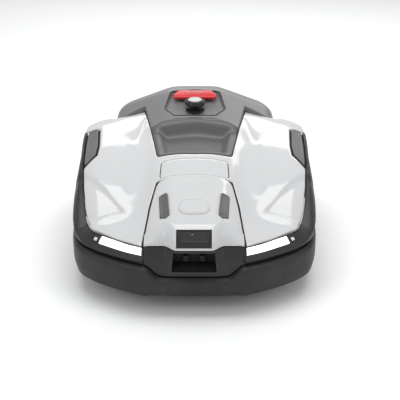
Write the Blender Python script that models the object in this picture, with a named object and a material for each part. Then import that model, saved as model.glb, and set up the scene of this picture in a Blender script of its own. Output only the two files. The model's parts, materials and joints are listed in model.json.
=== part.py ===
"""Robotic lawn mower: a floating cover on a wheeled chassis with a disc of swinging blades.

The front faces -Y, the left wheel is at -X, and the ground is z = 0. Everything is in metres.
The cover's panels are all cut from one skin, whose height over the ground is skin_height(x, y).
"""

import math

import bmesh
import bpy
from mathutils import Vector
from mathutils.geometry import delaunay_2d_cdt

# ---- driving dimensions ----
GAP = 0.0016  # seam between two cover panels
CLEAR = 0.0003  # between pieces that rest on each other
SHELL = 0.0035  # thickness of the painted panels

GROUND_CLEARANCE = 0.045
SEAM_Z = 0.120  # where the upper frame meets the bumper, along the sides
SEAM_DIP = 0.030  # how far that seam drops under the nose

WHEEL_R = 0.105
WHEEL_Y = 0.170
WHEEL_INNER_X = 0.207
WHEEL_OUTER_X = 0.262
ARCH_R = 0.117  # wheel arch in the side frame

CASTER_X = 0.150
CASTER_Y = -0.215
CASTER_R = 0.040
CASTER_TRAIL = 0.026
CASTER_HALF = 0.013

DISC_Y = -0.020
DISC_Z = 0.046
DISC_R = 0.098
BLADE_COUNT = 3
BLADE_PIVOT_R = 0.088

CHASSIS_HALF = 0.190
CHASSIS_WALL = 0.003
DECK_LOW_Z = 0.135  # chassis top over the casters
DECK_HIGH_Z = 0.172  # chassis top over the battery
FLOOR_FRONT_Z = 0.098
FLOOR_MIDDLE_Z = 0.080
FLOOR_REAR_Z = 0.060
FLOAT_POSTS = ((0.090, -0.200, DECK_LOW_Z), (0.150, 0.100, DECK_HIGH_Z))

# Heights of the skin in millimetres where the section lines cross: a row for each station along
# the length, from the front, and a column every 40 mm from the centre line to the side.
STATION_FIRST_Y = -0.350
STATION_STEP = 0.060
COLUMN_STEP = 0.040
SECTION_HEIGHTS = (
    (148, 148, 147, 145, 140, 134, 122, 105),
    (176, 174, 168, 158, 151, 146, 136, 120),
    (202, 199, 186, 168, 163, 160, 150, 130),
    (219, 217, 204, 184, 186, 190, 181, 160),
    (232, 230, 220, 203, 208, 213, 207, 188),
    (243, 242, 234, 219, 224, 228, 222, 203),
    (251, 250, 245, 233, 236, 239, 234, 215),
    (260, 259, 255, 243, 244, 246, 241, 222),
    (270, 269, 266, 254, 252, 252, 247, 229),
    (281, 280, 275, 262, 255, 250, 243, 227),
    (285, 284, 278, 262, 246, 236, 226, 210),
)
# The pressed-in facet at each front corner lies between two creases that start at one point.
FACET_POINT = (0.148, -0.199)
FACET_UPPER = (0.211, -0.121)
FACET_LOWER = (0.231, -0.223)
FACET_DEPTH = 0.006
FACET_SOFT = 0.012

REAR_LINE = ((0.100, 0.2765), (0.120, 0.2795), (0.250, 0.3095), (0.290, 0.3035), (0.335, 0.2875), (0.365, 0.2700))
REAR_SLOPE = 0.19  # half the side slope of the rear cover past its level middle
REAR_LEVEL, REAR_BEND = 0.058, 0.012
REAR_ROLL = 0.026
REAR_RIM = ((0.204, 0.200), (0.202, 0.260), (0.190, 0.298), (0.165, 0.3285), (0.125, 0.3472),
            (0.080, 0.3548), (0.0, 0.3578))

# Half outlines in plan: (x, y, corner radius), from the front centre line to the rear one.
HOOD = (
    (0.0, -0.129, 0.0), (0.086, -0.124, 0.006), (0.100, -0.196, 0.20), (0.111, -0.322, 0.0),
    (0.172, -0.283, 0.25), (0.226, -0.238, 0.012), (0.243, -0.185, 0.15), (0.254, -0.111, 0.3),
    (0.260, -0.048, 0.010), (0.231, -0.012, 0.008), (0.229, 0.030, 0.10), (0.235, 0.122, 0.008),
    (0.276, 0.140, 0.006), (0.272, 0.200, 0.030), (0.222, 0.222, 0.020), (0.207, 0.190, 0.006),
    (0.155, 0.209, 0.10), (0.1275, 0.213, 0.002), (0.107, 0.101, 0.3), (0.087, -0.031, 0.014),
    (0.0, -0.034, 0.0),
)
CONSOLE_FRONT = (
    (0.0, -0.034, 0.0), (0.087, -0.031, 0.014), (0.107, 0.101, 0.0), (0.074, 0.113, 0.02),
    (0.0, 0.120, 0.0),
)
REAR_COVER = (
    (0.0, 0.120, 0.0), (0.074, 0.113, 0.02), (0.107, 0.101, 0.0), (0.1275, 0.213, 0.002),
    (0.155, 0.209, 0.10), (0.204, 0.190, 0.004), (0.202, 0.260, 0.0), (0.190, 0.298, 0.0),
    (0.165, 0.3285, 0.0), (0.125, 0.3472, 0.0), (0.080, 0.3548, 0.0), (0.0, 0.3578, 0.0),
)
RECESS = (
    (0.0, 0.128, 0.0), (0.052, 0.128, 0.010), (0.077, 0.168, 0.012), (0.064, 0.240, 0.010),
    (0.0, 0.246, 0.0),
)
NAME_PLATE = ((0.0, -0.120, 0.0), (0.079, -0.117, 0.010), (0.077, -0.055, 0.010), (0.0, -0.052, 0.0))
COVER_FRAME = (
    (0.0, -0.300, 0.0), (0.105, -0.295, 0.03), (0.205, -0.230, 0.05), (0.232, -0.150, 0.1),
    (0.222, 0.000, 0.1), (0.222, 0.190, 0.02), (0.190, 0.180, 0.01), (0.120, 0.195, 0.01),
    (0.098, 0.101, 0.05), (0.084, -0.045, 0.012), (0.0, -0.048, 0.0),
)


# ---- curves and plan shapes ----
def smooth(t):
    t = min(1.0, max(0.0, t))
    return t * t * (3 - 2 * t)


def catmull(a, b, c, d, t):
    """Value between b and c of the smooth curve through four even stations."""
    return b + 0.5 * t * (c - a + t * (2 * a - 5 * b + 4 * c - d + t * (3 * (b - c) + d - a)))


def facet_depth(x, y):
    px, py = FACET_POINT
    ux, uy = FACET_UPPER[0] - px, FACET_UPPER[1] - py
    lx, ly = FACET_LOWER[0] - px, FACET_LOWER[1] - py
    below_upper = (uy * (x - px) - ux * (y - py)) / math.hypot(ux, uy)
    above_lower = (lx * (y - py) - ly * (x - px)) / math.hypot(lx, ly)
    return FACET_DEPTH * smooth(min(below_upper, above_lower) / FACET_SOFT)


def skin_height(x, y):
    """The cover's outer surface over the ground, from the section heights."""
    x = abs(x)
    across = min(max(x / COLUMN_STEP, 0.0), len(SECTION_HEIGHTS[0]) - 1.001)
    along = min(max((y - STATION_FIRST_Y) / STATION_STEP, 0.0), len(SECTION_HEIGHTS) - 1.001)
    column, row = int(across), int(along)
    last_column, last_row = len(SECTION_HEIGHTS[0]) - 1, len(SECTION_HEIGHTS) - 1

    def section(r):
        heights = SECTION_HEIGHTS[min(max(r, 0), last_row)]
        near = [heights[min(abs(column + k), last_column)] for k in (-1, 0, 1, 2)]
        return catmull(*near, across - column)

    height = catmull(*[section(row + k) for k in (-1, 0, 1, 2)], along - row)
    return height / 1000 - facet_depth(x, y)


def rear_height(x, y):
    """The rear cover: level across its middle, falling to the sides, its rim rolled down."""
    past = abs(x) - REAR_LEVEL
    base = along_line(REAR_LINE, y) - REAR_SLOPE * (past + math.hypot(past, REAR_BEND))
    near = min(1.0, distance_along(Vector((abs(x), y)), REAR_RIM) / REAR_ROLL)
    return base - REAR_ROLL * (1 - math.sqrt(1 - (1 - near) ** 2))


def along_line(points, value):
    """Linear value on a table of (position, value) pairs, positions rising or falling."""
    for a, b in zip(points, points[1:]):
        if min(a[0], b[0]) <= value <= max(a[0], b[0]):
            return a[1] + (b[1] - a[1]) * (value - a[0]) / (b[0] - a[0])
    near_first = abs(value - points[0][0]) < abs(value - points[-1][0])
    return points[0][1] if near_first else points[-1][1]


def distance_along(point, line):
    """Distance to an open line of plan points."""
    best = 1.0
    for start, end in zip(line, line[1:]):
        a, b = Vector(start), Vector(end)
        share = (point - a).dot(b - a) / (b - a).length_squared
        best = min(best, (point - a - (b - a) * min(1.0, max(0.0, share))).length)
    return best


def rounded(half, steps=5):
    """A half outline with its corners replaced by arcs."""
    points = []
    for i, (x, y, radius) in enumerate(half):
        here = Vector((x, y))
        if radius == 0 or i in (0, len(half) - 1):
            points.append(here)
            continue
        before = Vector(half[i - 1][:2]) - here
        after = Vector(half[i + 1][:2]) - here
        angle = before.angle(after)
        reach = radius / math.tan(angle / 2)
        reach = min(reach, 0.48 * before.length, 0.48 * after.length)
        start = here + before.normalized() * reach
        end = here + after.normalized() * reach
        for k in range(steps + 1):
            t = k / steps
            points.append((1 - t) ** 2 * start + 2 * t * (1 - t) * here + t * t * end)
    return points


def whole(half):
    """Both halves of an outline, anticlockwise seen from above."""
    right = [p for p in half if p.x > 1e-6]
    ends = [p for p in (half[0], half[-1]) if p.x <= 1e-6]
    left = [Vector((-p.x, p.y)) for p in reversed(right)]
    loop = [ends[0], *right, *ends[1:], *left]
    return loop if signed_area(loop) > 0 else loop[::-1]


def signed_area(loop):
    pairs = zip(loop, loop[1:] + loop[:1])
    return sum(a.x * b.y - b.x * a.y for a, b in pairs) / 2


def inset(loop, distance):
    """The loop moved inwards; negative moves it outwards."""
    moved = []
    for i, here in enumerate(loop):
        before = (here - loop[i - 1]).normalized()
        after = (loop[(i + 1) % len(loop)] - here).normalized()
        normal = Vector((-before.y - after.y, before.x + after.x))
        normal.normalize()
        lean = max(0.5, normal.dot(Vector((-before.y, before.x))))
        moved.append(here + normal * distance / lean)
    return moved


def inside(point, loop):
    hit = False
    for a, b in zip(loop, loop[1:] + loop[:1]):
        if (a.y > point.y) != (b.y > point.y):
            if point.x < (b.x - a.x) * (point.y - a.y) / (b.y - a.y) + a.x:
                hit = not hit
    return hit


def distance_to(point, loop):
    best = 1.0
    for a, b in zip(loop, loop[1:] + loop[:1]):
        line = b - a
        share = 0.0 if line.length == 0 else (point - a).dot(line) / line.length_squared
        best = min(best, (point - a - line * min(1.0, max(0.0, share))).length)
    return best


# ---- solids ----
def material(name, colour, roughness, metallic=0.0, alpha=1.0):
    made = bpy.data.materials.new(name)
    made.use_nodes = True
    shader = made.node_tree.nodes["Principled BSDF"]
    shader.inputs["Base Color"].default_value = (*colour, 1.0)
    shader.inputs["Roughness"].default_value = roughness
    shader.inputs["Metallic"].default_value = metallic
    shader.inputs["Alpha"].default_value = alpha
    return made


def add_object(name, verts, faces, finish, origin=(0, 0, 0)):
    """A named mesh object whose origin is at the given point; verts are in the world."""
    mesh = bpy.data.meshes.new(name)
    place = Vector(origin)
    mesh.from_pydata([Vector(v) - place for v in verts], [], faces)
    work = bmesh.new()
    work.from_mesh(mesh)
    bmesh.ops.remove_doubles(work, verts=work.verts, dist=1e-6)
    bmesh.ops.recalc_face_normals(work, faces=work.faces)
    work.to_mesh(mesh)
    work.free()
    mesh.shade_smooth()
    mesh.set_sharp_from_angle(angle=math.radians(35))
    if finish:
        mesh.materials.append(finish)
    obj = bpy.data.objects.new(name, mesh)
    obj.location = place
    bpy.context.scene.collection.objects.link(obj)
    return obj


def loft(name, rings, finish, origin=(0, 0, 0), closed=False):
    """A solid through equal closed rings; the ends are capped unless the loft itself is closed."""
    count = len(rings[0])
    verts = [p for ring in rings for p in ring]
    faces = []
    spans = len(rings) if closed else len(rings) - 1
    for i in range(spans):
        near, far = i * count, ((i + 1) % len(rings)) * count
        for k in range(count):
            j = (k + 1) % count
            faces.append((near + k, near + j, far + j, far + k))
    if not closed:
        faces.append(tuple(range(count))[::-1])
        faces.append(tuple((len(rings) - 1) * count + k for k in range(count)))
    return add_object(name, verts, faces, finish, origin)


def panel(name, loop, top, finish, holes=(), thickness=SHELL, step=0.024, lines=()):
    """A shell of even thickness under the height function top, over a plan outline."""
    rims = [loop, *holes, *lines]
    flat, edges = [], []
    for rim in rims:
        first = len(flat)
        flat += rim
        edges += [(first + k, first + (k + 1) % len(rim)) for k in range(len(rim))]
    rim_count = len(flat)
    reach_x = max(abs(p.x) for p in loop)
    low_y, high_y = min(p.y for p in loop), max(p.y for p in loop)
    for i in range(-int(reach_x / step), int(reach_x / step) + 1):
        for k in range(int((high_y - low_y) / step) + 1):
            spot = Vector((i * step, low_y + step * (k + 0.5)))
            if not inside(spot, loop) or any(inside(spot, hole) for hole in holes):
                continue
            if min(distance_to(spot, rim) for rim in rims) > 0.42 * step:
                flat.append(spot)
    points, _, triangles, *_ = delaunay_2d_cdt(flat, edges, [], 1, 1e-7, False)
    if len(points) < rim_count:
        raise ValueError(f"{name}: the outline meets itself")
    kept = []
    for triangle in triangles:
        middle = sum((points[k] for k in triangle), Vector((0, 0))) / 3
        if inside(middle, loop) and not any(inside(middle, hole) for hole in holes):
            kept.append(tuple(triangle))
    shift = len(points)
    verts = [(p.x, p.y, top(p.x, p.y)) for p in points]
    verts += [(p.x, p.y, top(p.x, p.y) - thickness) for p in points]
    faces = kept + [tuple(k + shift for k in reversed(triangle)) for triangle in kept]
    sides = {(t[k], t[(k + 1) % 3]) for t in kept for k in range(3)}
    faces += [(b, a, a + shift, b + shift) for a, b in sides if (b, a) not in sides]
    return add_object(name, verts, faces, finish)


def prism(name, outline, low, high, finish, axis="Z", bevel=0.0, origin=(0, 0, 0)):
    """A flat outline pushed from low to high along an axis. Outlines on X hold (y, z), on Y (x, z)."""
    place = {
        "Z": lambda p, h: (p[0], p[1], h),
        "X": lambda p, h: (h, p[0], p[1]),
        "Y": lambda p, h: (p[0], h, p[1]),
    }[axis]
    rings = [[place(p, h) for p in outline] for h in (low, high)]
    obj = loft(name, rings, finish, origin)
    if bevel:
        add_bevel(obj, bevel)
    return obj


def box(name, low, high, finish, bevel=0.0, origin=(0, 0, 0)):
    outline = [(low[0], low[1]), (high[0], low[1]), (high[0], high[1]), (low[0], high[1])]
    return prism(name, outline, low[2], high[2], finish, "Z", bevel, origin)


def add_bevel(obj, width, segments=1):
    bevel = obj.modifiers.new("soft_edges", "BEVEL")
    bevel.width = width
    bevel.segments = segments
    bevel.limit_method = "ANGLE"
    bevel.angle_limit = math.radians(40)
    return bevel


def turned(name, profile, centre, finish, axis="Z", steps=32, origin=None, flat=False):
    """A closed profile of (radius, height) turned about an axis through centre.

    With flat set, a facet lies at the bottom, at the full radius.
    """
    middle = Vector(centre)
    closes_on_axis = profile[0][0] < 1e-9 and profile[-1][0] < 1e-9
    verts, faces = [], []
    rings = profile[1:-1] if closes_on_axis else profile

    def place(radius, height, angle):
        c, s = radius * math.cos(angle), radius * math.sin(angle)
        return middle + Vector((c, s, height) if axis == "Z" else (height, c, s))

    wider = 1 / math.cos(math.pi / steps) if flat else 1.0
    for k in range(steps):
        angle = 2 * math.pi * (k + 0.5 * flat) / steps
        verts += [place(r * wider, h, angle) for r, h in rings]
    count = len(rings)
    for k in range(steps):
        near, far = k * count, ((k + 1) % steps) * count
        for i in range(count - 1 if closes_on_axis else count):
            j = (i + 1) % count
            faces.append((near + i, near + j, far + j, far + i))
    if closes_on_axis:
        verts += [place(0, profile[0][1], 0), place(0, profile[-1][1], 0)]
        first, last = len(verts) - 2, len(verts) - 1
        for k in range(steps):
            near, far = k * count, ((k + 1) % steps) * count
            faces.append((first, near, far))
            faces.append((last, far + count - 1, near + count - 1))
    return add_object(name, verts, faces, finish, centre if origin is None else origin)


def combine(target, other, operation="DIFFERENCE"):
    """Cuts another object from this one, or joins it on, and hides the tool."""
    made = target.modifiers.new(operation.lower(), "BOOLEAN")
    made.operation = operation
    made.object = other
    made.solver = "EXACT"
    other.hide_render = True
    other.display_type = "WIRE"
    return target


def rod(name, radius, centre, low, high, finish=None, axis="Z", steps=20):
    """A plain cylinder; low and high are measured along the axis from the centre."""
    profile = [(0, low), (radius, low), (radius, high), (0, high)]
    return turned(name, profile, centre, finish, axis, steps)


def mirror_x(points):
    return [(-p[0], *p[1:]) for p in points]


# ---- the cover's outer ring ----
FRAME_INNER = (
    (0.1085, -0.3235), (0.140, -0.306), (0.172, -0.283), (0.202, -0.2625), (0.2265, -0.2385),
    (0.236, -0.213), (0.2435, -0.185), (0.2495, -0.148), (0.2545, -0.111), (0.258, -0.075),
    (0.2605, -0.048), (0.2635, -0.020), (0.2655, 0.020), (0.267, 0.052), (0.2675, 0.075),
    (0.268, 0.100), (0.268, 0.120), (0.268, 0.1365),
)
FRAME_OUTER = (
    (0.1085, -0.3515), (0.149, -0.334), (0.190, -0.3105), (0.222, -0.2885), (0.250, -0.261),
    (0.2645, -0.233), (0.2735, -0.193), (0.2775, -0.150), (0.2790, -0.111), (0.2795, -0.075),
    (0.2800, -0.048), (0.2800, -0.020), (0.2800, 0.020), (0.2800, 0.052), (0.2797, 0.075),
    (0.2793, 0.100), (0.2788, 0.120), (0.2782, 0.1365),
)
PANEL_STATIONS = (0.0, 0.036, 0.048, 0.060, 0.070, 0.080, 0.090, 0.099, 0.1068)
LAMP_FIRST, LAMP_LAST = 0.35, 3.45  # where the headlight runs, counted in stations of the frame


def front_share(y):
    """1 on the front face, fading to 0 along the side."""
    return smooth((-0.215 - y) / 0.060)


def seam_height(x, y):
    """The seam between the upper frame and the bumper: it drops under the nose."""
    dip = 1 - smooth((abs(x) - 0.070) / 0.040)
    return SEAM_Z - 0.004 * front_share(y) - (SEAM_DIP - 0.004) * dip * front_share(y)


def station(points, t):
    """The point at a fractional place along a line of plan points."""
    i = min(int(t), len(points) - 2)
    return Vector(points[i]).lerp(Vector(points[i + 1]), t - i)


def bumper_line():
    front = [Vector((x, -0.357 + 0.47 * x * x)) for x in PANEL_STATIONS[:-1]]
    return front + [Vector(p) for p in FRAME_OUTER[:14]]


def outward(point, before, after):
    """Unit vector facing out of the ring in plan; it points straight ahead beside the nose."""
    along = (after - before).normalized()
    turn = smooth((abs(point.x) - 0.1085) / 0.060)
    return Vector((along.y * turn, -along.x * turn - (1 - turn))).normalized()


def build_bumper(finish):
    """The bumper ring: a ledge under the seam, an upright face and a turned-in lower lip."""
    line = bumper_line()
    line[-1].y = 0.046
    rings = []
    for i, point in enumerate(line):
        out = outward(point, line[max(i - 1, 0)], line[min(i + 1, len(line) - 1)])
        seam = seam_height(point.x, point.y) - GAP
        ledge = 0.005 + 0.008 * front_share(point.y)
        profile = (
            (-ledge, seam), (-0.001, seam - 0.009), (0.0, seam - 0.014), (0.0, 0.062),
            (-0.004, GROUND_CLEARANCE), (-0.009, GROUND_CLEARANCE), (-0.0065, 0.062),
            (-0.0055, seam - 0.018), (-ledge - 0.004, seam - 0.0045),
        )
        rings.append([(point.x + out.x * n, point.y + out.y * n, z) for n, z in profile])
    left = [mirror_x(ring) for ring in reversed(rings[1:])]
    return loft("bumper", left + rings, finish)


def arch_height(y):
    reach = ARCH_R**2 - (y - WHEEL_Y) ** 2
    return WHEEL_R + math.sqrt(reach) if reach > 0 else 0.0


def frame_section(t):
    """Outer points of the frame's section at one station: hood edge, shoulder, face, seam."""
    inner, outer = station(FRAME_INNER, t), station(FRAME_OUTER, t)
    front = front_share(outer.y)
    top = skin_height(inner.x, inner.y) - 0.0005
    low = max(seam_height(outer.x, outer.y) + GAP, arch_height(outer.y))
    low = min(low, top - 0.010)
    ledge = 0.005 + 0.008 * front
    out = outward(outer, station(FRAME_OUTER, max(t - 0.5, 0)), station(FRAME_OUTER, min(t + 0.5, 17)))
    foot = outer - out * ledge
    shoulder = inner.lerp(outer - out * 0.003, 0.62 - 0.10 * front)
    shoulder_z = top - (top - low) * (0.05 + 0.42 * front)
    face = outer - out * (0.0015 + 0.006 * front)
    face_z = top - (top - low) * (0.30 + 0.45 * front)
    return [(inner, top), (shoulder, shoulder_z), (face, face_z), (foot, low)], out


def build_side_frame(side, name, finish):
    """The dark band between the hood and the bumper, over the shoulder to the wheel arch."""
    rings = []
    for k in range(26):
        points, out = frame_section(17 * k / 25)
        outside = [(p.x, p.y, z) for p, z in points]
        (inner, top), (shoulder, sz), (face, fz), (foot, low) = points
        back = 0.004
        inside_points = [
            (foot - out * back, low), (face - out * back, fz - 0.001),
            (shoulder - out * 0.003, sz - 0.004), (inner, top - 0.0045),
        ]
        ring = outside + [(p.x, p.y, z) for p, z in inside_points]
        rings.append([(side * x, y, z) for x, y, z in ring])
    return loft(name, rings, finish)


def lamp_rings(side, first, last, low, high, proud, deep, steps=8):
    """Sections of a strip on the frame's sloping front face, low and high as shares of its height."""
    rings = []
    for k in range(steps + 1):
        points, out = frame_section(first + (last - first) * k / steps)
        (inner, top), (shoulder, shoulder_z) = points[:2]
        upper = Vector((inner.x, inner.y, top)).lerp(Vector((shoulder.x, shoulder.y, shoulder_z)), high)
        lower = Vector((inner.x, inner.y, top)).lerp(Vector((shoulder.x, shoulder.y, shoulder_z)), low)
        across = (lower - upper).normalized()
        flat = Vector((out.x, out.y, 0))
        normal = (flat - across * flat.dot(across)).normalized()
        ring = [upper + normal * proud, lower + normal * proud, lower - normal * deep, upper - normal * deep]
        rings.append([(side * p.x, p.y, p.z) for p in ring])
    return rings


def build_headlight(side, label, finish, frame):
    groove = loft(
        f"cut_headlight_{label}",
        lamp_rings(side, LAMP_FIRST - 0.02, LAMP_LAST + 0.02, 0.965, 0.085, 0.004, 0.0028),
        None,
    )
    combine(frame, groove)
    rings = lamp_rings(side, LAMP_FIRST, LAMP_LAST, 0.94, 0.11, 0.0008, 0.0016)
    return loft(f"headlight_lens_{label}", rings, finish)


# ---- the nose ----
NOSE_CENTRE = ((-0.129, 0.2300), (-0.170, 0.2225), (-0.230, 0.2130), (-0.290, 0.2035), (-0.316, 0.1970))
NOSE_SIDE = ((0.0800, -0.1300), (0.0850, -0.139), (0.0900, -0.164), (0.0968, -0.202), (0.1035, -0.268), (0.1072, -0.322))
NOSE_LIP_Z = 0.1535
NOSE_STATIONS = (0.0, 0.036, 0.044, 0.052, 0.060, 0.068, 0.077, 0.085, 0.0915, 0.0970, 0.1020, 0.1066)


def nose_height(x, y):
    """The raised nose: flat across its middle, falling to meet the hood at its side seam."""
    centre = along_line(NOSE_CENTRE, y)
    edge_x = along_line([(b, a) for a, b in NOSE_SIDE], y)
    edge = skin_height(edge_x, y)
    return centre - (centre - edge) * min(1.0, abs(x) / edge_x) ** 4


def nose_front(x):
    """Plan position of the foot of the nose's front wall."""
    return -0.3475 + 0.0225 * smooth((abs(x) - 0.036) / 0.030)


def nose_profile(x, count=6):
    """Outer points of the nose at one width, from its rear seam over the brow to its lip."""
    rear = along_line(NOSE_SIDE, abs(x)) - GAP / 2
    foot = nose_front(x)
    brow = foot + 0.033
    rear = max(rear, brow + 0.002)
    points = []
    for k in range(count):
        y = rear + (brow - rear) * (k / (count - 1)) ** 0.8
        points.append((y, nose_height(x, y)))
    brow_z = max(points[-1][1], NOSE_LIP_Z + 0.004)
    for share, lean in ((0.12, 0.05), (0.35, 0.16), (0.70, 0.42), (0.92, 0.75), (1.0, 1.0)):
        points.append((brow + (foot - brow) * share, brow_z - (brow_z - NOSE_LIP_Z) * lean))
    return points


def build_nose_cover(finish):
    rings = []
    widths = [-x for x in reversed(NOSE_STATIONS[1:])] + list(NOSE_STATIONS)
    for x in widths:
        outer = nose_profile(x)
        under = []
        for i, (y, z) in enumerate(outer):
            before, after = outer[max(0, i - 1)], outer[min(len(outer) - 1, i + 1)]
            along = Vector((after[0] - before[0], after[1] - before[1])).normalized()
            under.append((y - along.y * SHELL, max(NOSE_LIP_Z - 0.0005, z + along.x * SHELL)))
        ring = outer + under[::-1]
        rings.append([(x, y, z) for y, z in ring])
    return loft("nose_cover", rings, finish)


def build_nose_panel(finish):
    """The dark upright wall under the nose, with the charging pocket let into it."""
    widths = [-x for x in reversed(PANEL_STATIONS[1:])] + list(PANEL_STATIONS)
    rings = []
    for x in widths:
        y, low = nose_front(x), seam_height(x, -0.35) + GAP
        top, foot = NOSE_LIP_Z - GAP, -0.3455 + 0.0070 * smooth((abs(x) - 0.040) / 0.067)
        face = min(y, foot) + 0.3 * abs(y - foot)
        rings.append([(x, y + 0.0005, top), (x, face - 0.0005, low + 0.60 * (top - low)), (x, foot, low),
                      (x, foot + 0.0050, low), (x, face + 0.0050, low + 0.60 * (top - low)), (x, y + 0.0060, top)])
    panel_wall = loft("nose_panel", rings, finish)
    pocket_body = box("join_pocket", (-0.0515, -0.3335, 0.1000), (0.0515, -0.3030, 0.1500), None)
    combine(panel_wall, pocket_body, "UNION")
    pocket = box("cut_pocket", (-0.0490, -0.3600, 0.1025), (0.0490, -0.3060, 0.1475), None)
    return combine(panel_wall, pocket)


def build_contact(side, label, finish):
    """A bent spring strip on the back wall of the charging pocket."""
    outline = [(-0.3063, 0.108), (-0.3063, 0.134), (-0.3140, 0.134), (-0.3200, 0.128),
               (-0.3200, 0.114), (-0.3140, 0.108)]
    middle = side * 0.018
    return prism(f"charging_contact_{label}", outline, middle - 0.005, middle + 0.005, finish, "X")


def build_camera(housing_finish, glass, nose):
    combine(nose, box("cut_camera", (-0.0375, -0.3700, 0.1580), (0.0375, -0.2950, 0.1920), None))
    body = [(-0.3215, 0.1917), (-0.3335, 0.1790), (-0.3410, 0.1660), (-0.3430, 0.1583),
            (-0.3150, 0.1583), (-0.3000, 0.1917)]
    housing = prism("camera_housing", body, -0.0372, 0.0372, housing_finish, "X")
    combine(housing, box("cut_window", (-0.0290, -0.3600, 0.1713), (0.0290, -0.3180, 0.1887), None))
    window = [(-0.3235, 0.1884), (-0.3325, 0.1785), (-0.3368, 0.1716), (-0.3183, 0.1716), (-0.3183, 0.1884)]
    return housing, prism("camera_window", window, -0.0287, 0.0287, glass, "X")


SENSOR_PAD = ((0.0785, -0.1970), (0.0625, -0.1930), (0.0585, -0.1980), (0.0525, -0.2760),
              (0.0605, -0.2860), (0.0735, -0.2790))
BADGE = (0.034, 0.029, -0.249)  # half width, half length, middle


def build_sensor_pad(side, label, finish):
    loop = [Vector((side * x, y)) for x, y in SENSOR_PAD]
    loop = loop if signed_area(loop) > 0 else loop[::-1]
    return panel(f"sensor_pad_{label}", loop, lambda x, y: nose_height(x, y) + 0.0030, finish, (), 0.0016)


def build_badge(finish):
    wide, long, middle = BADGE
    turns = [2 * math.pi * k / 28 for k in range(28)]
    loop = [Vector((wide * math.cos(a), middle + long * math.sin(a))) for a in turns]
    return panel("nose_badge", loop, lambda x, y: nose_height(x, y) + 0.0024, finish, (), 0.0014)


# ---- the cover's upper panels ----
SHOULDER_PAD = ((0.2575, -0.0400), (0.2605, -0.0230), (0.2622, 0.0200), (0.2640, 0.0600), (0.2645, 0.1290),
                (0.2385, 0.1200), (0.2320, 0.0300), (0.2340, -0.0100))
WELL = ((0.0, -0.028, 0.0), (0.081, -0.025, 0.012), (0.096, 0.093, 0.012), (0.0, 0.109, 0.0))
WELL_DEPTH = 0.018
WELL_SLOPE = 0.030
TRAY_DEPTH = 0.012


def build_hood(finish):
    loop = inset(whole(rounded(HOOD, 3)), GAP / 2)
    hole = inset(whole(rounded(NAME_PLATE, 3)), -GAP / 2)
    return panel("hood", loop, skin_height, finish, [hole], step=0.032)


def build_name_plate(finish):
    loop = inset(whole(rounded(NAME_PLATE, 3)), GAP / 2)
    return panel("name_plate", loop, lambda x, y: skin_height(x, y) - 0.0012, finish, step=0.034)


def well_height(x, y):
    """The console's rim: it follows the skin and rises to meet the rear cover at its seam."""
    step = rear_height(0, 0.120) - skin_height(0, 0.120) - 0.001
    return skin_height(x, y) + 0.001 + step * smooth((y - 0.070) / 0.042)


def build_console(finish):
    """The console in front of the controls, with a sunken well whose floor is the inner outline."""
    loop = inset(whole(rounded(CONSOLE_FRONT, 3)), GAP / 2)
    rim = whole(rounded(WELL, 3))
    floor = inset(rim, WELL_SLOPE)

    def top(x, y):
        spot = Vector((x, y))
        if not inside(spot, rim):
            return well_height(x, y)
        share = 1.0 if inside(spot, floor) else min(1.0, distance_to(spot, rim) / WELL_SLOPE)
        return well_height(x, y) - WELL_DEPTH * share

    return panel("console_well", loop, top, finish, (), SHELL, 0.030, [rim, floor])


def build_rear_cover(finish):
    loop = inset(whole(rounded(REAR_COVER, 3)), GAP / 2)
    hole = whole(rounded(RECESS, 3))
    return panel("rear_cover", loop, rear_height, finish, [hole], 0.004, 0.030)


def tray(name, loop, top, depth, wall, floor, finish):
    """An open tray: a wall round the loop and a floor, level from side to side, under the middle height."""
    inner = inset(loop, wall)
    rings = [
        [(p.x, p.y, top(0, p.y) - depth - floor) for p in loop],
        [(p.x, p.y, top(p.x, p.y) - 0.0004) for p in loop],
        [(p.x, p.y, top(p.x, p.y) - 0.0004) for p in inner],
        [(p.x, p.y, top(0, p.y) - depth) for p in inner],
    ]
    return loft(name, rings, finish)


def tray_floor(x, y):
    return rear_height(x, y) - TRAY_DEPTH


STOP_HALF, STOP_BACK_HALF, STOP_LOW_Y, STOP_HIGH_Y = 0.0555, 0.0425, 0.206, 0.238
KNOB_CENTRE = (0.0, 0.176)
KNOB_R = 0.0262


def build_control_panel(finish):
    loop = inset(whole(rounded(RECESS, 3)), CLEAR)
    made = tray("control_panel", loop, rear_height, TRAY_DEPTH, 0.003, 0.003, finish)
    floor = tray_floor(0, KNOB_CENTRE[1])
    shaft = rod("cut_selector_shaft", 0.0043, (*KNOB_CENTRE, floor), -0.02, 0.02)
    middle = (STOP_LOW_Y + STOP_HIGH_Y) / 2
    stem = rod("cut_stop_stem", 0.0065, (0, middle, tray_floor(0, middle)), -0.02, 0.02)
    combine(made, shaft)
    return combine(made, stem)


def build_stop_button(finish):
    """A wide pillow that stands over the tray on one stem; its origin is on the stem."""
    middle = (STOP_LOW_Y + STOP_HIGH_Y) / 2
    half = [(0.0, STOP_LOW_Y - 0.001, 0.0), (STOP_HALF - 0.002, STOP_LOW_Y, 0.006), (STOP_HALF, STOP_LOW_Y + 0.009, 0.006),
            (STOP_BACK_HALF, STOP_HIGH_Y, 0.010), (0.0, STOP_HIGH_Y + 0.001, 0.0)]
    loop = whole(rounded(half, 3))
    rings = []
    for height, shrink in ((-0.0062, 0.001), (0.0, 0.0), (0.0030, 0.001), (0.0045, 0.0045), (0.0050, 0.010)):
        rings.append([(p.x, p.y, rear_height(0, p.y) + height) for p in inset(loop, shrink)])
    stem = (0, middle, tray_floor(0, middle))
    made = loft("stop_button", rings, finish, stem)
    return combine(made, rod("join_stop_stem", 0.0061, stem, -0.016, 0.008), "UNION")


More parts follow.
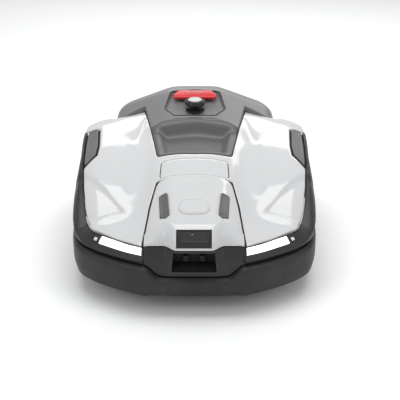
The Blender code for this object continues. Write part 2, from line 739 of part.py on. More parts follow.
def build_selector(knob_finish, cap_finish, switch_finish):
    """The turning and pressing selector: knob with its shaft, its cap, and the switch below."""
    x, y = KNOB_CENTRE
    floor = tray_floor(x, y)
    foot = 0.0125
    profile = [(0.0, -0.0300), (0.0040, -0.0300), (0.0040, foot), (KNOB_R, foot), (KNOB_R, foot + 0.0105),
               (KNOB_R - 0.002, foot + 0.0130), (0.0175, foot + 0.0130), (0.0175, foot + 0.0100),
               (0.0, foot + 0.0100)]
    knob = turned("selector_knob", profile, (x, y, floor), knob_finish, "Z", 28)
    top = foot + 0.0103
    cap_profile = [(0.0, top), (0.0172, top), (0.0172, top + 0.0032), (0.0160, top + 0.0040), (0.0, top + 0.0040)]
    cap = turned("knob_cap", cap_profile, (x, y, floor), cap_finish, "Z", 28)
    body = box("selector_switch", (x - 0.012, y - 0.012, floor - 0.0330), (x + 0.012, y + 0.012, floor - 0.0085),
               switch_finish)
    combine(body, rod("cut_switch_bore", 0.0043, (x, y, floor), -0.0325, 0.01))
    return knob, cap, body


def build_shoulder_pad(side, label, finish):
    loop = [Vector((side * x, y)) for x, y in SHOULDER_PAD]
    loop = loop if signed_area(loop) > 0 else loop[::-1]
    return panel(f"shoulder_pad_{label}", inset(loop, GAP / 2), lambda x, y: skin_height(x, y) + 0.0015, finish)


def build_rear_apron(finish):
    """The upright wall round the tail, from under the rear cover's rim down to the chassis floor."""
    half = [Vector(p) for p in ((0.0, 0.3578), (0.040, 0.3571), (0.080, 0.3548), (0.125, 0.3472), (0.163, 0.3285),
                                (0.178, 0.309), (0.186, 0.298), (0.189, 0.287))]
    rings = []
    for i, point in enumerate(half):
        along = (half[min(i + 1, len(half) - 1)] - half[max(i - 1, 0)]).normalized()
        out = Vector((-along.y, along.x)) if i else Vector((0, 1))
        out = -out if out.dot(point - Vector((0, 0.2))) < 0 else out
        top = rear_height(point.x, point.y) - 0.0065
        profile = ((-0.004, top), (-0.002, top - 0.030), (-0.004, 0.095), (-0.012, 0.070), (-0.0155, 0.070),
                   (-0.0080, 0.095), (-0.0060, top - 0.030), (-0.0080, top))
        rings.append([(point.x + out.x * n, point.y + out.y * n, z) for n, z in profile])
    left = [mirror_x(ring) for ring in reversed(rings[1:])]
    return loft("rear_apron", left + rings, finish)


def build_cover_frame(finish):
    """The dark carrier under the panels, with a boss and a bore over each float post."""
    loop = whole(rounded(COVER_FRAME, 3))

    def top(x, y):
        return skin_height(x, y) - 0.0095 - 0.010 * max(0.0, 1 - abs(y + 0.30) / 0.06)

    made = panel("cover_frame", loop, top, finish, (), 0.003, 0.048)
    for label, (x, y, _) in post_places():
        low, high = boss_heights(x, y)
        boss = rod(f"join_boss_{label}", 0.0130, (x, y, low), 0.0, high - low)
        combine(made, boss, "UNION")
        combine(made, rod(f"cut_boss_{label}", 0.0063, (x, y, low), -0.01, high - low - 0.004))
    return made


def boss_heights(x, y):
    top = skin_height(x, y) - 0.0140
    return top - 0.026, top


def post_places():
    places = []
    for label, side in (("left", -1), ("right", 1)):
        for row, (x, y, z) in zip(("front", "rear"), FLOAT_POSTS):
            places.append((f"{row}_{label}", (side * x, y, z)))
    return places


def build_post(label, place, rubber, plastic):
    """A float post: the foot slides fore and aft on the deck, the pin slides sideways on the foot."""
    x, y, deck = place
    low, high = boss_heights(x, y)
    foot = [(0.0, CLEAR), (0.020, CLEAR), (0.020, 0.0055), (0.017, 0.0083), (0.0, 0.0083)]
    turned(f"float_foot_{label}", foot, (x, y, deck), rubber, "Z", 14)
    shelf = low - CLEAR - deck
    pin = [(0.0, 0.0086), (0.014, 0.0086), (0.014, 0.0110), (0.0100, 0.0125), (0.0100, shelf), (0.0060, shelf),
           (0.0060, high - 0.0075 - deck), (0.0, high - 0.0075 - deck)]
    turned(f"float_pin_{label}", pin, (x, y, deck), plastic, "Z", 14)


# ---- the chassis ----
CHASSIS_SIDE = (
    (-0.252, FLOOR_FRONT_Z), (-0.146, FLOOR_FRONT_Z), (-0.138, FLOOR_MIDDLE_Z), (0.106, FLOOR_MIDDLE_Z),
    (0.122, FLOOR_REAR_Z), (0.262, FLOOR_REAR_Z), (0.275, 0.075),
)
DECK_SIDE = ((0.275, DECK_HIGH_Z), (-0.105, DECK_HIGH_Z), (-0.145, DECK_LOW_Z), (-0.252, DECK_LOW_Z))
MOTOR_HOLE_R = 0.040


def build_tub(finish):
    """The open tub: stepped floor, four walls, caster bosses, the motor opening and the axle holes."""
    rim = 0.0030 + CLEAR
    outer = list(CHASSIS_SIDE) + [(y, z - rim) for y, z in DECK_SIDE]
    tub = prism("chassis_tub", outer, -CHASSIS_HALF, CHASSIS_HALF, finish, "X")
    wall = CHASSIS_WALL
    inner = [(-0.249, FLOOR_FRONT_Z + wall), (-0.144, FLOOR_FRONT_Z + wall), (-0.136, FLOOR_MIDDLE_Z + wall),
             (0.108, FLOOR_MIDDLE_Z + wall), (0.124, FLOOR_REAR_Z + wall), (0.260, FLOOR_REAR_Z + wall),
             (0.272, 0.078), (0.272, 0.200), (-0.110, 0.200), (-0.249, 0.180)]
    half = CHASSIS_HALF - wall
    combine(tub, prism("cut_tub_inside", inner, -half, half, None, "X"))
    for label, side in (("left", -1), ("right", 1)):
        place = (side * CASTER_X, CASTER_Y, FLOOR_FRONT_Z)
        combine(tub, rod(f"join_caster_boss_{label}", 0.0140, place, 0.001, 0.0290), "UNION")
        combine(tub, rod(f"cut_caster_bore_{label}", 0.0063, place, -0.01, 0.0250))
        rail_low, rail_high = sorted((side * 0.130, side * (half + 0.001)))
        rail = box(f"join_motor_rail_{label}", (rail_low, WHEEL_Y - 0.020, FLOOR_REAR_Z + 0.001),
                   (rail_high, WHEEL_Y + 0.020, WHEEL_R - 0.0283), None)
        combine(tub, rail, "UNION")
    combine(tub, rod("cut_motor_opening", MOTOR_HOLE_R, (0, DISC_Y, 0.080), -0.01, 0.01, None, "Z", 32))
    combine(tub, rod("cut_axles", 0.0090, (0, WHEEL_Y, WHEEL_R), -0.25, 0.25, None, "X", 20))
    return tub


def build_lid(finish):
    """The lid: the stepped deck with a locating rib inside the tub's walls."""
    top = list(DECK_SIDE)
    under = [(y, z - 0.0030) for y, z in reversed(top)]
    lid = prism("chassis_lid", top + under, -CHASSIS_HALF, CHASSIS_HALF, finish, "X")
    low = min(DECK_SIDE[0][1], DECK_HIGH_Z) - 0.0100
    rib = box("join_lid_rib", (-0.1850, -0.1000, low), (0.1850, 0.2700, DECK_HIGH_Z - 0.001), None)
    room = box("cut_lid_rib", (-0.1820, -0.0970, low - 0.01), (0.1820, 0.2670, DECK_HIGH_Z - 0.0030), None)
    combine(lid, rib, "UNION")
    return combine(lid, room)


def build_battery(finish):
    low = FLOOR_REAR_Z + CHASSIS_WALL + CLEAR
    pack = box("battery_pack", (-0.070, 0.1280, low), (0.070, 0.2560, low + 0.0500), finish, 0.004)
    return pack


def build_board(finish):
    """The main board with its larger components, lying on the battery pack."""
    low = FLOOR_REAR_Z + CHASSIS_WALL + CLEAR * 2 + 0.0500
    board = box("main_board", (-0.080, 0.1200, low), (0.080, 0.2580, low + 0.0016), finish)
    parts = (("processor", -0.045, 0.150, 0.018, 0.018, 0.004), ("regulator", 0.030, 0.145, 0.012, 0.016, 0.009),
             ("capacitor", 0.050, 0.215, 0.010, 0.010, 0.014), ("plug_row", -0.010, 0.240, 0.040, 0.007, 0.009))
    for label, x, y, wide, long, tall in parts:
        block = box(f"join_{label}", (x - wide, y - long, low + 0.0008), (x + wide, y + long, low + tall), None)
        combine(board, block, "UNION")
    return board


def build_drive(side, label, motor_finish, rim_finish, tyre_finish):
    """One drive wheel: gear motor in the tub, a rim with its axle, and the tyre."""
    def at(points):
        return [(r, side * x) for r, x in points]
    centre = (0.0, WHEEL_Y, WHEEL_R)
    motor = [(0.0, 0.100), (0.0230, 0.100), (0.0230, 0.135), (0.0280, 0.140), (0.0280, 0.1865), (0.0063, 0.1865),
             (0.0063, 0.150), (0.0, 0.150)]
    turned(f"wheel_motor_{label}", at(motor), centre, motor_finish, "X", 16)
    hub = (side * (WHEEL_INNER_X + 0.02), WHEEL_Y, WHEEL_R)
    inner, outer = WHEEL_INNER_X, WHEEL_OUTER_X
    rim = [(0.0, 0.1550), (0.0060, 0.1550), (0.0060, inner), (0.0200, inner), (0.0200, inner + 0.020),
           (0.0600, inner + 0.026), (0.0820, inner + 0.004), (0.0905, inner + 0.004), (0.0905, outer - 0.006),
           (0.0840, outer - 0.006), (0.0780, outer - 0.018), (0.0300, outer - 0.014), (0.0240, outer - 0.003),
           (0.0, outer - 0.003)]
    turned(f"wheel_rim_{label}", at(rim), centre, rim_finish, "X", 28, hub, True)
    tread = [(0.0908, inner + 0.002), (0.0980, inner), (WHEEL_R - 0.002, inner + 0.004), (WHEEL_R, inner + 0.012),
             (WHEEL_R, outer - 0.012), (WHEEL_R - 0.002, outer - 0.004), (0.0980, outer), (0.0908, outer - 0.002)]
    turned(f"tyre_{label}", at(tread), centre, tyre_finish, "X", 28, hub, True)


def build_caster(side, label, fork_finish, wheel_finish, axle_finish):
    """One front caster: a two-legged fork on its swivel stem, its wheel, and the axle pin."""
    x, y = side * CASTER_X, CASTER_Y
    axle_y = y + CASTER_TRAIL
    leg = [(y - 0.014, 0.0920), (y - 0.016, 0.0860), (axle_y - 0.012, 0.0460), (axle_y - 0.010, 0.0320),
           (axle_y, 0.0290), (axle_y + 0.010, 0.0320), (axle_y + 0.012, 0.0430), (y + 0.024, 0.0840),
           (y + 0.018, 0.0920)]
    fork = prism(f"caster_fork_{label}", leg, x - 0.0185, x + 0.0185, fork_finish, "X", origin=(x, y, 0.0920))
    combine(fork, box(f"cut_fork_{label}", (x - 0.0145, y - 0.06, 0.0), (x + 0.0145, y + 0.09, 0.0835), None))
    stem = [(0.0, -0.004), (0.0115, -0.004), (0.0115, FLOOR_FRONT_Z - CLEAR - 0.092), (0.0060, FLOOR_FRONT_Z - CLEAR - 0.092),
            (0.0060, 0.0300), (0.0, 0.0300)]
    combine(fork, turned(f"join_stem_{label}", stem, (x, y, 0.092), None, "Z", 20), "UNION")
    centre = (x, axle_y, CASTER_R)
    combine(fork, rod(f"cut_axle_{label}", 0.0043, centre, -0.03, 0.03, None, "X", 12))
    half = CASTER_HALF
    tread = [(0.0043, -half), (0.0300, -half + 0.001), (0.0370, -half + 0.0015), (CASTER_R, -half + 0.005),
             (CASTER_R, half - 0.005), (0.0370, half - 0.0015), (0.0300, half - 0.001), (0.0043, half)]
    turned(f"caster_wheel_{label}", tread, centre, wheel_finish, "X", 20, None, True)
    pin = [(0.0, -0.0215), (0.0065, -0.0215), (0.0065, -0.0188), (0.0040, -0.0188), (0.0040, 0.0188),
           (0.0065, 0.0188), (0.0065, 0.0215), (0.0, 0.0215)]
    turned(f"caster_axle_{label}", pin, centre, axle_finish, "X", 12)


def build_cutting_unit(case, steel, plastic, blade_finish):
    """The height-adjusted unit: flanged motor, the disc with its swinging blades, the skid plate."""
    centre = (0.0, DISC_Y, DISC_Z)
    motor = [(0.0043, 0.0100), (0.0300, 0.0100), (0.0335, 0.0140), (0.0335, 0.0600), (0.0540, 0.0600),
             (0.0540, 0.0635), (0.0320, 0.0635), (0.0280, 0.0680), (0.0, 0.0680), (0.0, 0.0300), (0.0043, 0.0300)]
    turned("cutting_motor", motor, centre, case, "Z", 20)
    disc = [(0.0, -0.0140), (0.0040, -0.0140), (0.0040, 0.0), (DISC_R - 0.002, 0.0), (DISC_R, 0.0020),
            (DISC_R - 0.002, 0.0040), (0.0200, 0.0040), (0.0160, 0.0090), (0.0040, 0.0090), (0.0040, 0.0290),
            (0.0, 0.0290)]
    plate = turned("blade_disc", disc, centre, steel, "Z", 30)
    skid = [(0.0043, -0.0100), (0.0180, -0.0100), (0.0640, -0.0075), (0.0700, -0.0120), (0.0600, -0.0160),
            (0.0, -0.0160), (0.0, -0.0143), (0.0043, -0.0143)]
    turned("skid_plate", skid, centre, plastic, "Z", 24)
    for k in range(BLADE_COUNT):
        angle = math.radians(90 + 360 * k / BLADE_COUNT)
        build_blade(k + 1, angle, plate, blade_finish, steel)


def build_blade(number, angle, plate, blade_finish, screw_finish):
    """One thin pivoting blade, standing straight out, with its shoulder screw through the disc."""
    along = Vector((math.cos(angle), math.sin(angle), 0))
    across = Vector((-along.y, along.x, 0))
    pivot = Vector((0, DISC_Y, DISC_Z)) + along * BLADE_PIVOT_R
    shape = ((-0.0070, -0.0090), (0.0270, -0.0090), (0.0300, -0.0060), (0.0300, 0.0060), (0.0270, 0.0090),
             (-0.0070, 0.0090))
    outline = [pivot + along * a + across * b for a, b in shape]
    top = DISC_Z - CLEAR
    origin = (pivot.x, pivot.y, top)
    blade = prism(f"blade_{number}", [(p.x, p.y) for p in outline], top - 0.0010, top, blade_finish, "Z", 0, origin)
    combine(blade, rod(f"cut_blade_{number}", 0.0024, origin, -0.01, 0.01, None, "Z", 12))
    combine(plate, rod(f"cut_disc_{number}", 0.0024, origin, -0.005, 0.015, None, "Z", 12))
    screw = [(0.0, -0.0038), (0.0030, -0.0038), (0.0042, -0.0030), (0.0042, -0.0013), (0.0020, -0.0013),
             (0.0020, 0.0046), (0.0036, 0.0046), (0.0036, 0.0060), (0.0, 0.0060)]
    turned(f"blade_screw_{number}", screw, origin, screw_finish, "Z", 12)


# ---- everything in place ----
def build_all():
    white = material("gloss_white", (0.80, 0.82, 0.84), 0.16)
    charcoal = material("charcoal_plastic", (0.045, 0.047, 0.050), 0.50)
    grey = material("satin_grey", (0.27, 0.28, 0.29), 0.38)
    dark_grey = material("dark_grey", (0.10, 0.105, 0.11), 0.42)
    pad_grey = material("pad_grey", (0.33, 0.34, 0.35), 0.45)
    black = material("black_plastic", (0.018, 0.018, 0.020), 0.30)
    glass = material("smoked_window", (0.012, 0.014, 0.014), 0.05)
    red = material("signal_red", (0.72, 0.03, 0.03), 0.30)
    cap_grey = material("cap_grey", (0.62, 0.63, 0.64), 0.30)
    lamp = material("lamp_white", (0.95, 0.96, 1.0), 0.15)
    rubber = material("tyre_rubber", (0.022, 0.022, 0.022), 0.80)
    steel = material("bright_steel", (0.62, 0.62, 0.63), 0.28, 1.0)
    metal = material("motor_case", (0.50, 0.51, 0.52), 0.40, 1.0)
    gold = material("contact_metal", (0.80, 0.62, 0.30), 0.25, 1.0)
    board_green = material("board_green", (0.02, 0.14, 0.06), 0.45)

    build_tub(charcoal)
    build_lid(dark_grey)
    build_battery(black)
    build_board(board_green)
    build_cutting_unit(metal, steel, black, steel)
    build_cover_frame(charcoal)
    build_hood(white)
    build_name_plate(white)
    nose = build_nose_cover(white)
    build_nose_panel(charcoal)
    build_camera(black, glass, nose)
    build_badge(white)
    build_bumper(charcoal)
    build_rear_cover(grey)
    build_rear_apron(charcoal)
    build_console(dark_grey)
    build_control_panel(grey)
    build_stop_button(red)
    build_selector(black, cap_grey, dark_grey)
    for label, side in (("left", -1), ("right", 1)):
        build_drive(side, label, metal, dark_grey, rubber)
        build_caster(side, label, charcoal, rubber, steel)
        frame = build_side_frame(side, f"side_frame_{label}", charcoal)
        build_headlight(side, label, lamp, frame)
        build_sensor_pad(side, label, black)
        build_shoulder_pad(side, label, pad_grey)
        build_contact(side, label, gold)
    for label, place in post_places():
        build_post(label, place, rubber, charcoal)


for old in list(bpy.data.objects):
    bpy.data.objects.remove(old)
build_all()
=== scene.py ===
import json
import math

import bmesh
import bpy
import numpy as np
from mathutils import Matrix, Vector
from mathutils.geometry import delaunay_2d_cdt


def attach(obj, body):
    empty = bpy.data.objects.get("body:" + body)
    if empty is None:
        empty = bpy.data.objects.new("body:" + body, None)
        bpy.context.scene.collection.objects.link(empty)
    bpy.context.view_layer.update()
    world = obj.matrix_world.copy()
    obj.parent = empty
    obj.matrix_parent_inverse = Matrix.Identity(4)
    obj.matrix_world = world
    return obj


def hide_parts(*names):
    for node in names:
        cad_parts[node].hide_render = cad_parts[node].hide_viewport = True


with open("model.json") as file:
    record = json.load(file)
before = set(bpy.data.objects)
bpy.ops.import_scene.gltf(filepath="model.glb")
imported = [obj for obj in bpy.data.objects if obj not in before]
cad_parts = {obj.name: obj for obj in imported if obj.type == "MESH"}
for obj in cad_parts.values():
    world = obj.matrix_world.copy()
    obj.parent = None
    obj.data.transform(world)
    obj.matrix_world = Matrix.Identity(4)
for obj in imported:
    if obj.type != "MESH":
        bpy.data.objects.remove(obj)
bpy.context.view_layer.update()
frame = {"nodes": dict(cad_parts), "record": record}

print("frame loaded:", len(frame["nodes"]), "nodes")


# shader node groups, each built once
def newGroup(name, inputs, outputs):
    group = bpy.data.node_groups.new(name, "ShaderNodeTree")
    for label, kind, value in inputs:
        socket = group.interface.new_socket(name=label, in_out="INPUT", socket_type=kind)
        if value is not None:
            socket.default_value = value
    for label, kind in outputs:
        group.interface.new_socket(name=label, in_out="OUTPUT", socket_type=kind)
    return group, group.nodes.new("NodeGroupInput"), group.nodes.new("NodeGroupOutput")


def link(tree, source, target):
    tree.links.new(source, target)


def mathNode(tree, operation, first, second, clamp=False):
    node = tree.nodes.new("ShaderNodeMath")
    node.operation = operation
    node.use_clamp = clamp
    for socket, value in zip(node.inputs, (first, second)):
        if isinstance(value, (int, float)):
            socket.default_value = value
        else:
            link(tree, value, socket)
    return node.outputs[0]


def spread(tree, value, low, high, outLow=0.0, outHigh=1.0):
    node = tree.nodes.new("ShaderNodeMapRange")
    node.inputs["From Min"].default_value = low
    node.inputs["From Max"].default_value = high
    node.inputs["To Min"].default_value = outLow
    node.inputs["To Max"].default_value = outHigh
    link(tree, value, node.inputs["Value"])
    return node.outputs["Result"]


def noise(tree, coords, scale, detail=3.0, rough=0.55):
    node = tree.nodes.new("ShaderNodeTexNoise")
    node.inputs["Detail"].default_value = detail
    node.inputs["Roughness"].default_value = rough
    if isinstance(scale, (int, float)):
        node.inputs["Scale"].default_value = scale
    else:
        link(tree, scale, node.inputs["Scale"])
    link(tree, coords, node.inputs["Vector"])
    return node.outputs["Fac"]


def mixColour(tree, share, first, second, mode="MIX"):
    node = tree.nodes.new("ShaderNodeMix")
    node.data_type = "RGBA"
    node.blend_type = mode
    link(tree, share, node.inputs[0])
    for socket, value in ((node.inputs[6], first), (node.inputs[7], second)):
        if isinstance(value, tuple):
            socket.default_value = value
        else:
            link(tree, value, socket)
    return node.outputs[2]


def objectCoords(tree):
    return tree.nodes.new("ShaderNodeTexCoord").outputs["Object"]


def buildGrain():  # spark-eroded mould grain: pebbled bumps, broken up by a finer noise
    group, into, out = newGroup(
        "mouldGrain",
        [("Size", "NodeSocketFloat", 900.0), ("Depth", "NodeSocketFloat", 0.3),
         ("Distance", "NodeSocketFloat", 0.0004)],
        [("Normal", "NodeSocketVector"), ("Mask", "NodeSocketFloat")],
    )
    coords = objectCoords(group)
    cells = group.nodes.new("ShaderNodeTexVoronoi")
    cells.feature = "SMOOTH_F1"
    link(group, coords, cells.inputs["Vector"])
    link(group, into.outputs["Size"], cells.inputs["Scale"])
    fine = noise(group, coords, mathNode(group, "MULTIPLY", into.outputs["Size"], 1.7), 2.0)
    height = mathNode(group, "ADD", cells.outputs["Distance"], mathNode(group, "MULTIPLY", fine, 0.5))
    bump = group.nodes.new("ShaderNodeBump")
    link(group, height, bump.inputs["Height"])
    link(group, into.outputs["Depth"], bump.inputs["Strength"])
    link(group, into.outputs["Distance"], bump.inputs["Distance"])
    link(group, bump.outputs["Normal"], out.inputs["Normal"])
    link(group, height, out.inputs["Mask"])
    return group


def buildBlotch():  # slow drift in tone and gloss, as moulded and handled plastic has
    group, into, out = newGroup(
        "surfaceDrift",
        [("Color", "NodeSocketColor", (0.5, 0.5, 0.5, 1)), ("Tone", "NodeSocketFloat", 0.06),
         ("Rough Low", "NodeSocketFloat", 0.3), ("Rough High", "NodeSocketFloat", 0.4)],
        [("Color", "NodeSocketColor"), ("Roughness", "NodeSocketFloat")],
    )
    coords = objectCoords(group)
    broad = noise(group, coords, 9.0, 4.0)
    small = noise(group, coords, 70.0, 3.0)
    both = mathNode(group, "ADD", mathNode(group, "MULTIPLY", broad, 0.65),
                    mathNode(group, "MULTIPLY", small, 0.35))
    shade = mathNode(group, "MULTIPLY", mathNode(group, "SUBTRACT", both, 0.5), into.outputs["Tone"])
    shift = group.nodes.new("ShaderNodeHueSaturation")
    link(group, into.outputs["Color"], shift.inputs["Color"])
    link(group, mathNode(group, "ADD", shade, 1.0), shift.inputs["Value"])
    link(group, shift.outputs["Color"], out.inputs["Color"])
    span = group.nodes.new("ShaderNodeMapRange")
    link(group, both, span.inputs["Value"])
    span.inputs["From Min"].default_value = 0.35
    span.inputs["From Max"].default_value = 0.65
    link(group, into.outputs["Rough Low"], span.inputs["To Min"])
    link(group, into.outputs["Rough High"], span.inputs["To Max"])
    link(group, span.outputs["Result"], out.inputs["Roughness"])
    return group


def buildDust():  # a film of pale dust low down, plus a few specks
    group, into, out = newGroup(
        "settledDust",
        [("Color", "NodeSocketColor", (0.5, 0.5, 0.5, 1)), ("Roughness", "NodeSocketFloat", 0.4),
         ("Amount", "NodeSocketFloat", 0.1), ("Low Edge", "NodeSocketFloat", 0.05),
         ("High Edge", "NodeSocketFloat", 0.16)],
        [("Color", "NodeSocketColor"), ("Roughness", "NodeSocketFloat")],
    )
    coords = objectCoords(group)
    split = group.nodes.new("ShaderNodeSeparateXYZ")
    link(group, coords, split.inputs[0])
    low = group.nodes.new("ShaderNodeMapRange")
    link(group, split.outputs["Z"], low.inputs["Value"])
    link(group, into.outputs["Low Edge"], low.inputs["From Max"])
    link(group, into.outputs["High Edge"], low.inputs["From Min"])
    patch = spread(group, noise(group, coords, 24.0, 6.0, 0.7), 0.42, 0.72)
    specks = spread(group, noise(group, coords, 420.0, 2.0, 0.7), 0.66, 0.76)
    film = mathNode(group, "MULTIPLY", low.outputs["Result"], patch)
    both = mathNode(group, "MAXIMUM", film, mathNode(group, "MULTIPLY", specks, 0.35))
    share = mathNode(group, "MULTIPLY", both, into.outputs["Amount"], True)
    link(group, mixColour(group, share, into.outputs["Color"], (0.42, 0.38, 0.31, 1)), out.inputs["Color"])
    rough = mathNode(group, "ADD", into.outputs["Roughness"], mathNode(group, "MULTIPLY", share, 0.35),
                     True)
    link(group, rough, out.inputs["Roughness"])
    return group


def buildRub():  # pale scuffs where the bumper and the wheels touch things: short streaks along one axis
    group, into, out = newGroup(
        "rubMarks",
        [("Color", "NodeSocketColor", (0.5, 0.5, 0.5, 1)), ("Amount", "NodeSocketFloat", 0.2),
         ("Stretch", "NodeSocketVector", (6.0, 6.0, 90.0))],
        [("Color", "NodeSocketColor"), ("Mask", "NodeSocketFloat")],
    )
    coords = objectCoords(group)
    scale = group.nodes.new("ShaderNodeVectorMath")
    scale.operation = "MULTIPLY"
    link(group, coords, scale.inputs[0])
    link(group, into.outputs["Stretch"], scale.inputs[1])
    streak = spread(group, noise(group, scale.outputs[0], 4.0, 5.0, 0.65), 0.60, 0.70)
    where = spread(group, noise(group, coords, 14.0, 2.0), 0.52, 0.64)
    share = mathNode(group, "MULTIPLY", mathNode(group, "MULTIPLY", streak, where), into.outputs["Amount"],
                     True)
    link(group, mixColour(group, share, into.outputs["Color"], (0.30, 0.30, 0.30, 1)), out.inputs["Color"])
    link(group, share, out.inputs["Mask"])
    return group


grain, blotch, dust, rub = buildGrain(), buildBlotch(), buildDust(), buildRub()


# materials
finishes = {
    "hoodWhite": dict(color=(0.60, 0.602, 0.606), low=0.07, high=0.12, tone=0.015, size=2600, depth=0.02,
                      dust=0.05, coat=0.35, coatRough=0.04),
    "frameCharcoal": dict(color=(0.0150, 0.0152, 0.0158), low=0.42, high=0.52, tone=0.08, size=1500,
                          depth=0.22, dust=0.03, rub=0.05),
    "bumperCharcoal": dict(color=(0.0095, 0.0096, 0.0100), low=0.50, high=0.60, tone=0.08, size=1300,
                           depth=0.32, dust=0.04, rub=0.10),
    "satinGrey": dict(color=(0.165, 0.166, 0.168), low=0.30, high=0.40, tone=0.08, size=1900, depth=0.12,
                      dust=0.05),
    "wellGrey": dict(color=(0.085, 0.086, 0.087), low=0.30, high=0.40, tone=0.08, size=1900, depth=0.12,
                     dust=0.05),
    "padGrey": dict(color=(0.125, 0.127, 0.130), low=0.42, high=0.52, tone=0.10, size=1200, depth=0.30,
                    dust=0.06),
    # painted shade: a near-black finish for seams, recesses, vents, screw slots and dimples where shade falls
    "paintedShadeBlack": dict(color=(0.012, 0.012, 0.013), low=0.60, high=0.72, tone=0.2, size=1400, depth=0.3,
                     dust=0.05),
    "smoothBlack": dict(color=(0.014, 0.014, 0.015), low=0.16, high=0.26, tone=0.15, size=2200, depth=0.05,
                        dust=0.04),
    "stopRed": dict(color=(0.62, 0.018, 0.022), low=0.24, high=0.34, tone=0.06, size=2200, depth=0.06,
                    dust=0.03),
    "capGrey": dict(color=(0.48, 0.49, 0.50), low=0.24, high=0.34, tone=0.05, size=2000, depth=0.08,
                    dust=0.03),
    "rimGrey": dict(color=(0.060, 0.061, 0.064), low=0.32, high=0.44, tone=0.15, size=1600, depth=0.18,
                    dust=0.10, rub=0.10),
    "tyreRubber": dict(color=(0.020, 0.020, 0.020), low=0.72, high=0.88, tone=0.30, size=900, depth=0.40,
                       dust=0.12),
    "chassisBlack": dict(color=(0.028, 0.029, 0.031), low=0.50, high=0.62, tone=0.20, size=1200, depth=0.35,
                         dust=0.12, rub=0.08),
    "boardGreen": dict(color=(0.014, 0.105, 0.045), low=0.30, high=0.42, tone=0.20, size=700, depth=0.10,
                       dust=0.05),
    "markWhite": dict(color=(0.55, 0.30, 0.30), low=0.30, high=0.40, tone=0.05, size=2000, depth=0.05,
                      dust=0.02),
    "sensorGrey": dict(color=(0.085, 0.086, 0.088), low=0.34, high=0.44, tone=0.08, size=1500, depth=0.18,
                       dust=0.05),
    "spotClear": dict(color=(0.70, 0.72, 0.74), low=0.05, high=0.10, tone=0.03, size=2000, depth=0.02,
                      dust=0.02, coat=0.6, coatRough=0.03),
    "lampDark": dict(color=(0.05, 0.05, 0.055), low=0.12, high=0.20, tone=0.10, size=2000, depth=0.03,
                     dust=0.02),
}


def groupNode(tree, group, **values):
    node = tree.nodes.new("ShaderNodeGroup")
    node.node_tree = group
    for label, value in values.items():
        socket = node.inputs[label.replace("_", " ")]
        if isinstance(value, bpy.types.NodeSocket):
            link(tree, value, socket)
        else:
            socket.default_value = value
    return node


def newLook(name):
    made = bpy.data.materials.new(name)
    made.use_nodes = True
    return made, made.node_tree, made.node_tree.nodes["Principled BSDF"]


def wearFilm(tree, film, shader):  # the dusted colour and gloss go to the surface
    for label, socket in (("Color", "Base Color"), ("Roughness", "Roughness")):
        link(tree, film.outputs[label], shader.inputs[socket])


def makePlastic(name, spec):
    made, tree, shader = newLook(name)
    drift = groupNode(tree, blotch, Color=(*spec["color"], 1), Tone=spec["tone"], Rough_Low=spec["low"],
                      Rough_High=spec["high"])
    colour = drift.outputs["Color"]
    if spec.get("rub"):
        colour = groupNode(tree, rub, Color=colour, Amount=spec["rub"]).outputs["Color"]
    film = groupNode(tree, dust, Color=colour, Roughness=drift.outputs["Roughness"], Amount=spec["dust"])
    surface = groupNode(tree, grain, Size=float(spec["size"]), Depth=spec["depth"], Distance=0.0003)
    wearFilm(tree, film, shader)
    link(tree, surface.outputs["Normal"], shader.inputs["Normal"])
    if spec.get("coat"):
        shader.inputs["Coat Weight"].default_value = spec["coat"]
        shader.inputs["Coat Roughness"].default_value = spec["coatRough"]
    return made


def makeMetal(name, color, low, high, stretch):  # turned or rolled metal: fine lines along one way
    made, tree, shader = newLook(name)
    shader.inputs["Metallic"].default_value = 1.0
    coords = objectCoords(tree)
    scale = tree.nodes.new("ShaderNodeVectorMath")
    scale.operation = "MULTIPLY"
    scale.inputs[1].default_value = stretch
    link(tree, coords, scale.inputs[0])
    lines = noise(tree, scale.outputs[0], 30.0, 4.0, 0.6)
    drift = groupNode(tree, blotch, Color=(*color, 1), Tone=0.12, Rough_Low=low, Rough_High=high)
    film = groupNode(tree, dust, Color=drift.outputs["Color"], Roughness=drift.outputs["Roughness"],
                     Amount=0.12)
    bump = tree.nodes.new("ShaderNodeBump")
    bump.inputs["Strength"].default_value = 0.12
    bump.inputs["Distance"].default_value = 0.0002
    link(tree, lines, bump.inputs["Height"])
    wearFilm(tree, film, shader)
    link(tree, bump.outputs["Normal"], shader.inputs["Normal"])
    return made


def makeLamp(name, color, strength):  # a lit diffusing lens: faint prisms across it vary its glow
    made, tree, shader = newLook(name)
    shader.inputs["Base Color"].default_value = (0.85, 0.87, 0.9, 1)
    shader.inputs["Roughness"].default_value = 0.12
    shader.inputs["Emission Strength"].default_value = strength
    wave = tree.nodes.new("ShaderNodeTexWave")
    wave.bands_direction = "X"
    wave.inputs["Scale"].default_value = 120.0
    link(tree, objectCoords(tree), wave.inputs["Vector"])
    share = spread(tree, wave.outputs["Fac"], 0.0, 1.0)
    link(tree, mixColour(tree, share, (*color, 1), (color[0] * 0.9, color[1] * 0.93, color[2] * 0.96, 1)),
         shader.inputs["Emission Color"])
    return made


def makeGlass(name, tint, rough):  # dark polished cover glass with a faint wipe haze
    made, tree, shader = newLook(name)
    drift = groupNode(tree, blotch, Color=(*tint, 1), Tone=0.1, Rough_Low=rough, Rough_High=rough + 0.06)
    film = groupNode(tree, dust, Color=drift.outputs["Color"], Roughness=drift.outputs["Roughness"],
                     Amount=0.03)
    wearFilm(tree, film, shader)
    shader.inputs["Coat Weight"].default_value = 1.0
    shader.inputs["Coat Roughness"].default_value = 0.03
    return made


